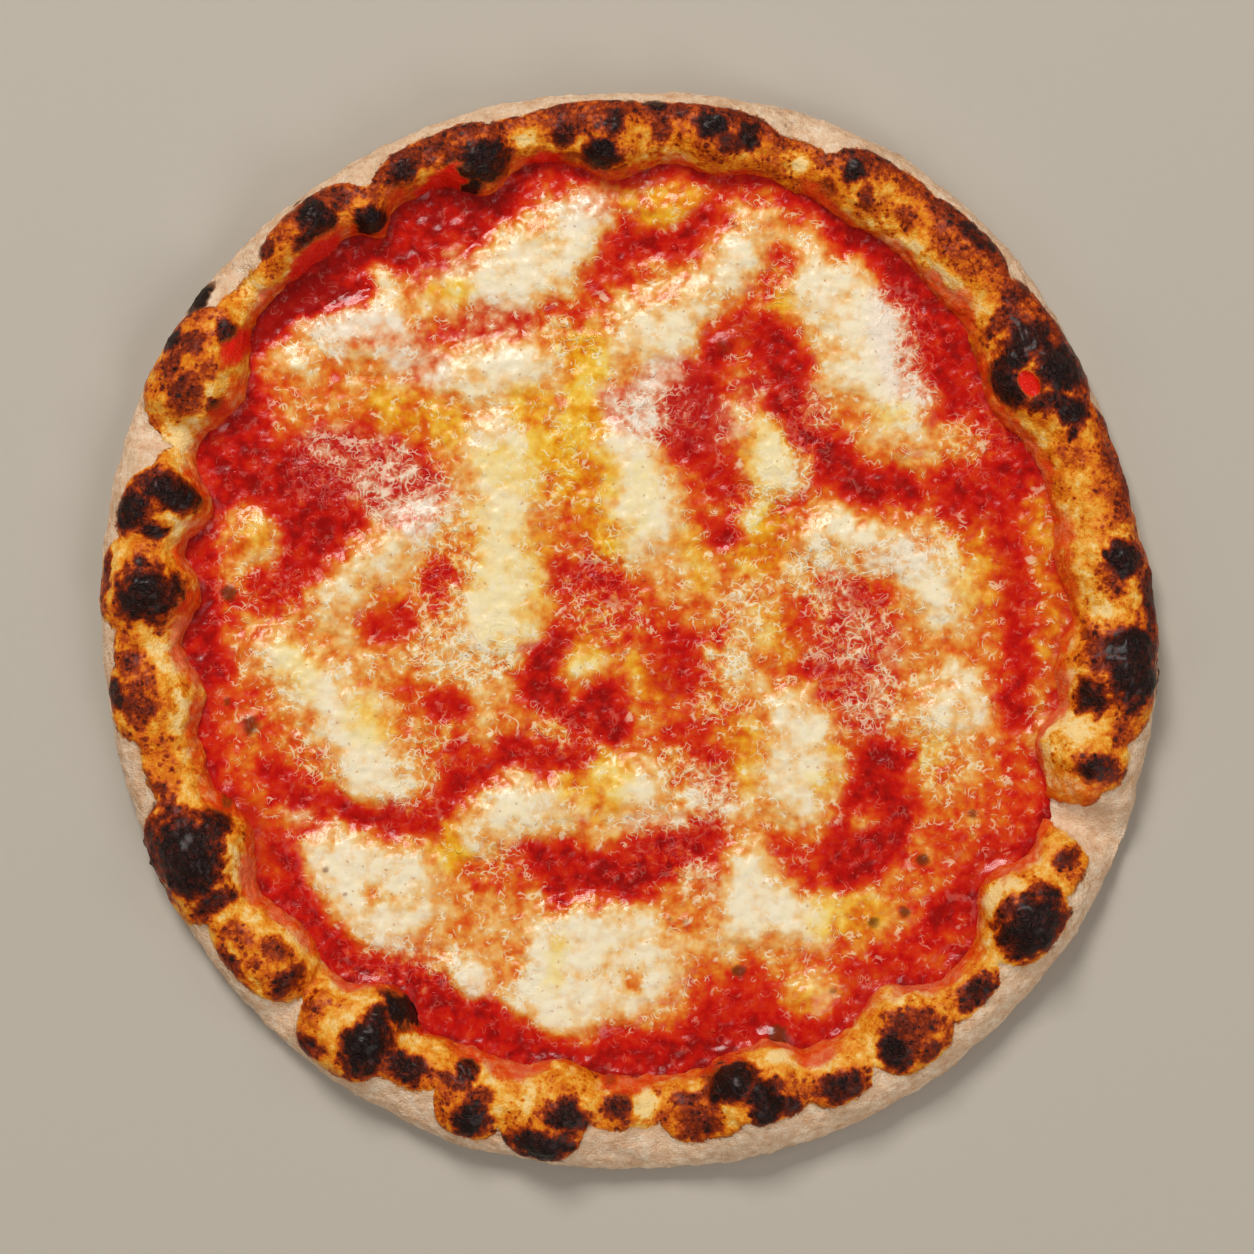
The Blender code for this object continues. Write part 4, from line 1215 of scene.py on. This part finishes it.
class PIZZA_OT_threads(bpy.types.Operator):
    """Scatters fine threads of melted cheese over the topping"""

    bl_idname = "pizza.threads"
    bl_label = "Cheese threads"

    def execute(self, context):
        chance = random.Random(4)
        wanted = context.scene.pizza_topping.thread_count
        starts = scattered(chance, wanted * 6, 134.0)
        likely = topping_fields(starts)
        weight = np.clip(likely["threads"] * 0.5 + 0.06 * smooth(0.3, 0.6, likely["cover"]), 0.0, 1.0)
        weight *= smooth(2.0, 7.0, likely["inward"]) * smooth(0.8, 0.6, likely["cover"])
        chosen = [place for place, share in zip(starts, weight) if chance.random() < share][:wanted]
        lines = np.array([self.wander(place, chance) for place in chosen])
        flat = lines.reshape(-1, 2)
        fields = topping_fields(flat)
        heights = surface_height(flat, fields) + self.height_of_pools(context, flat)
        points, faces, numbers = self.tubes(lines, heights.reshape(lines.shape[:2]), fields, chance)
        made = mesh_object("cheese_threads", points, faces, numbers)
        settle(made, [], topping_look("cheese_threads", 0.06))
        return {"FINISHED"}

    def wander(self, place, chance):
        """Points of one curling thread."""
        points = [place]
        heading = chance.uniform(0.0, 2.0 * math.pi)
        bend = chance.choice((-1.0, 1.0)) * chance.uniform(0.1, 0.6)
        step = chance.uniform(0.3, 0.7)
        for _ in range(9):
            heading += bend + chance.uniform(-0.3, 0.3)
            last = points[-1]
            points.append(last + step * np.array([math.cos(heading), math.sin(heading)]))
        return np.array(points)

    def height_of_pools(self, context, places):
        """How far the pools stand over the sauce at each place."""
        full = context.scene.pizza_topping.pool_rise / MM
        rise = np.zeros(len(places))
        for outline in POOLS.values():
            own = depth_inside(places, outline)
            rise = np.maximum(rise, pool_rise(full, own))
        return rise

    def tubes(self, lines, heights, fields, chance):
        """Four-sided tubes along the lines, pointed at both ends."""
        count, length = lines.shape[:2]
        along = np.gradient(lines, axis=1)
        along /= np.maximum(np.linalg.norm(along, axis=2, keepdims=True), 1e-9)
        side = np.stack([-along[..., 1], along[..., 0]], axis=2)
        thick = np.array([chance.uniform(0.25, 0.5) for _ in range(count)])
        taper = np.sin(np.linspace(0.25, math.pi - 0.25, length)) ** 0.5
        radius = thick[:, None] * taper
        lift = heights - 0.02
        corners = []
        for across, up in ((1, 0), (0, 0.4), (-1, 0), (0, -0.6)):
            place = lines + side * (across * radius)[..., None]
            corners.append(np.concatenate([place, (lift + up * radius)[..., None]], axis=2))
        points = np.stack(corners, axis=2).reshape(-1, 3)
        faces = []
        for thread in range(count):
            start = thread * length * 4
            for step in range(length - 1):
                for corner in range(4):
                    after = (corner + 1) % 4
                    low, high = start + step * 4, start + step * 4 + 4
                    faces.append((low + corner, low + after, high + after, high + corner))
            faces.append((start + 3, start + 2, start + 1, start))
            end = start + (length - 1) * 4
            faces.append((end, end + 1, end + 2, end + 3))
        numbers = {key: np.repeat(values, 4) for key, values in carried(fields).items()}
        return points, faces, numbers


class PIZZA_OT_oil(bpy.types.Operator):
    """Scatters small beads of oil over the sauce"""

    bl_idname = "pizza.oil"
    bl_label = "Oil beads"

    def execute(self, context):
        chance = random.Random(9)
        wanted = context.scene.pizza_topping.bead_count
        places = scattered(chance, wanted * 3, 131.0)
        fields = topping_fields(places)
        open_sauce = smooth(0.7, 0.3, fields["cover"]) * smooth(1.0, 4.0, fields["inward"])
        open_sauce *= (fields["depth"] < -3.0)
        keep = [index for index, share in enumerate(open_sauce) if chance.random() < share][:wanted]
        heights = surface_height(places, fields)
        deselect()
        bpy.ops.mesh.primitive_uv_sphere_add(segments=8, ring_count=5, radius=1.0)
        seed = bpy.context.object
        shape = np.array([vertex.co for vertex in seed.data.vertices])
        # the primitive lists its faces in an order that changes from run to run
        sides = sorted(tuple(face.vertices) for face in seed.data.polygons)
        bpy.data.objects.remove(seed)
        points = []
        faces = []
        for index in keep:
            radius = chance.uniform(0.3, 0.9)
            start = len(points) * len(shape)
            scale = np.array([radius, radius, radius * 0.4])
            points.append(shape * scale + np.array([*places[index], heights[index]]))
            faces.extend(tuple(start + corner for corner in side) for side in sides)
        numbers = {key: np.repeat(values[keep], len(shape)) for key, values in carried(fields).items()}
        made = mesh_object("oil_beads", np.vstack(points), faces, numbers)
        settle(made, [], topping_look("oily_beads", 0.05))
        return {"FINISHED"}


# ---------------------------------------------------------------- stage


class StageSettings(bpy.types.PropertyGroup):
    floor_colour: FloatVectorProperty(name="Floor", description="Colour of the floor", subtype="COLOR",
                                      default=(0.53, 0.475, 0.40), min=0.0, max=1.0)
    view_width: FloatProperty(name="View width", description="Width that the picture shows",
                              default=0.3764, unit="LENGTH")
    lens: FloatProperty(name="Lens", description="Focal length of the camera in millimetres",
                        default=135.0)
    key_power: FloatProperty(name="Key light", description="Power of the large soft light", default=54.0,
                             unit="POWER")
    fill_power: FloatProperty(name="Fill light", description="Power of the light from below the picture",
                              default=22.0, unit="POWER")
    side_power: FloatProperty(name="Side lights", description="Power of the light from each side",
                              default=8.0, unit="POWER")
    world_light: FloatProperty(name="Room light", description="Strength of the light from all around",
                               default=0.12)


class PIZZA_OT_stage(bpy.types.Operator):
    """Adds the floor, the lights and the camera above the pizza"""

    bl_idname = "pizza.stage"
    bl_label = "Stage"

    def execute(self, context):
        settings = context.scene.pizza_stage
        deselect()
        bpy.ops.mesh.primitive_plane_add(size=4.0)
        floor = bpy.context.object
        floor.name = "floor"
        floor.data.materials.append(floor_look(settings.floor_colour))
        self.light("key_light", settings.key_power, 0.9, (-0.65, 1.7, 2.15))
        self.light("fill_light", settings.fill_power, 1.4, (1.3, -1.7, 1.9))
        self.light("left_light", settings.side_power, 1.4, (-2.0, -0.6, 1.9))
        self.light("right_light", settings.side_power, 1.4, (2.0, 0.6, 1.9))
        world = bpy.data.worlds.new("room")
        world.use_nodes = True
        background = world.node_tree.nodes["Background"]
        background.inputs["Color"].default_value = (*WARM_WHITE, 1.0)
        background.inputs["Strength"].default_value = settings.world_light
        context.scene.world = world
        context.scene.view_settings.view_transform = "Standard"
        self.camera(context, settings)
        return {"FINISHED"}

    def light(self, name, power, size, place):
        lamp = bpy.data.lights.new(name, "AREA")
        lamp.energy = power
        lamp.size = size
        lamp.color = WARM_WHITE
        made = bpy.data.objects.new(name, lamp)
        made.location = place
        made.rotation_euler = (-Vector(place)).to_track_quat("-Z", "Y").to_euler()
        bpy.context.scene.collection.objects.link(made)

    def camera(self, context, settings):
        """A camera straight above, framed on the pizza's widest line."""
        eye = bpy.data.cameras.new("camera")
        eye.lens = settings.lens
        eye.sensor_width = 36.0
        distance = settings.view_width * settings.lens / eye.sensor_width
        made = bpy.data.objects.new("camera", eye)
        made.location = (VIEW_CENTRE[0] * MM, VIEW_CENTRE[1] * MM, WIDEST_HEIGHT * MM + distance)
        eye.clip_end = 20.0
        context.scene.collection.objects.link(made)
        context.scene.camera = made


# ---------------------------------------------------------------- add-on


class PIZZA_PT_panel(bpy.types.Panel):
    """Lists the steps that build the pizza"""

    bl_label = "Margherita Pizza"
    bl_idname = "PIZZA_PT_panel"
    bl_space_type = "VIEW_3D"
    bl_region_type = "UI"
    bl_category = "Pizza"

    def draw(self, context):
        scene = context.scene
        groups = ((scene.pizza_crust, ("crust", "underside")),
                  (scene.pizza_topping, ("sauce", "mozzarella", "threads", "oil")),
                  (scene.pizza_stage, ("stage",)))
        for settings, steps in groups:
            box = self.layout.box()
            for name in settings.__annotations__:
                box.prop(settings, name)
            for step in steps:
                box.operator("pizza." + step)


CLASSES = (CrustSettings, ToppingSettings, StageSettings, PIZZA_OT_crust, PIZZA_OT_underside,
           PIZZA_OT_sauce, PIZZA_OT_mozzarella, PIZZA_OT_threads, PIZZA_OT_oil, PIZZA_OT_stage,
           PIZZA_PT_panel)


def register():
    for item in CLASSES:
        bpy.utils.register_class(item)
    bpy.types.Scene.pizza_crust = PointerProperty(type=CrustSettings)
    bpy.types.Scene.pizza_topping = PointerProperty(type=ToppingSettings)
    bpy.types.Scene.pizza_stage = PointerProperty(type=StageSettings)


def unregister():
    del bpy.types.Scene.pizza_stage
    del bpy.types.Scene.pizza_topping
    del bpy.types.Scene.pizza_crust
    for item in reversed(CLASSES):
        bpy.utils.unregister_class(item)


def main():
    register()
    bpy.ops.pizza.crust()
    bpy.ops.pizza.underside()
    bpy.ops.pizza.sauce()
    bpy.ops.pizza.mozzarella()
    bpy.ops.pizza.threads()
    bpy.ops.pizza.oil()
    bpy.ops.pizza.stage()


if __name__ == "__main__":
    main()
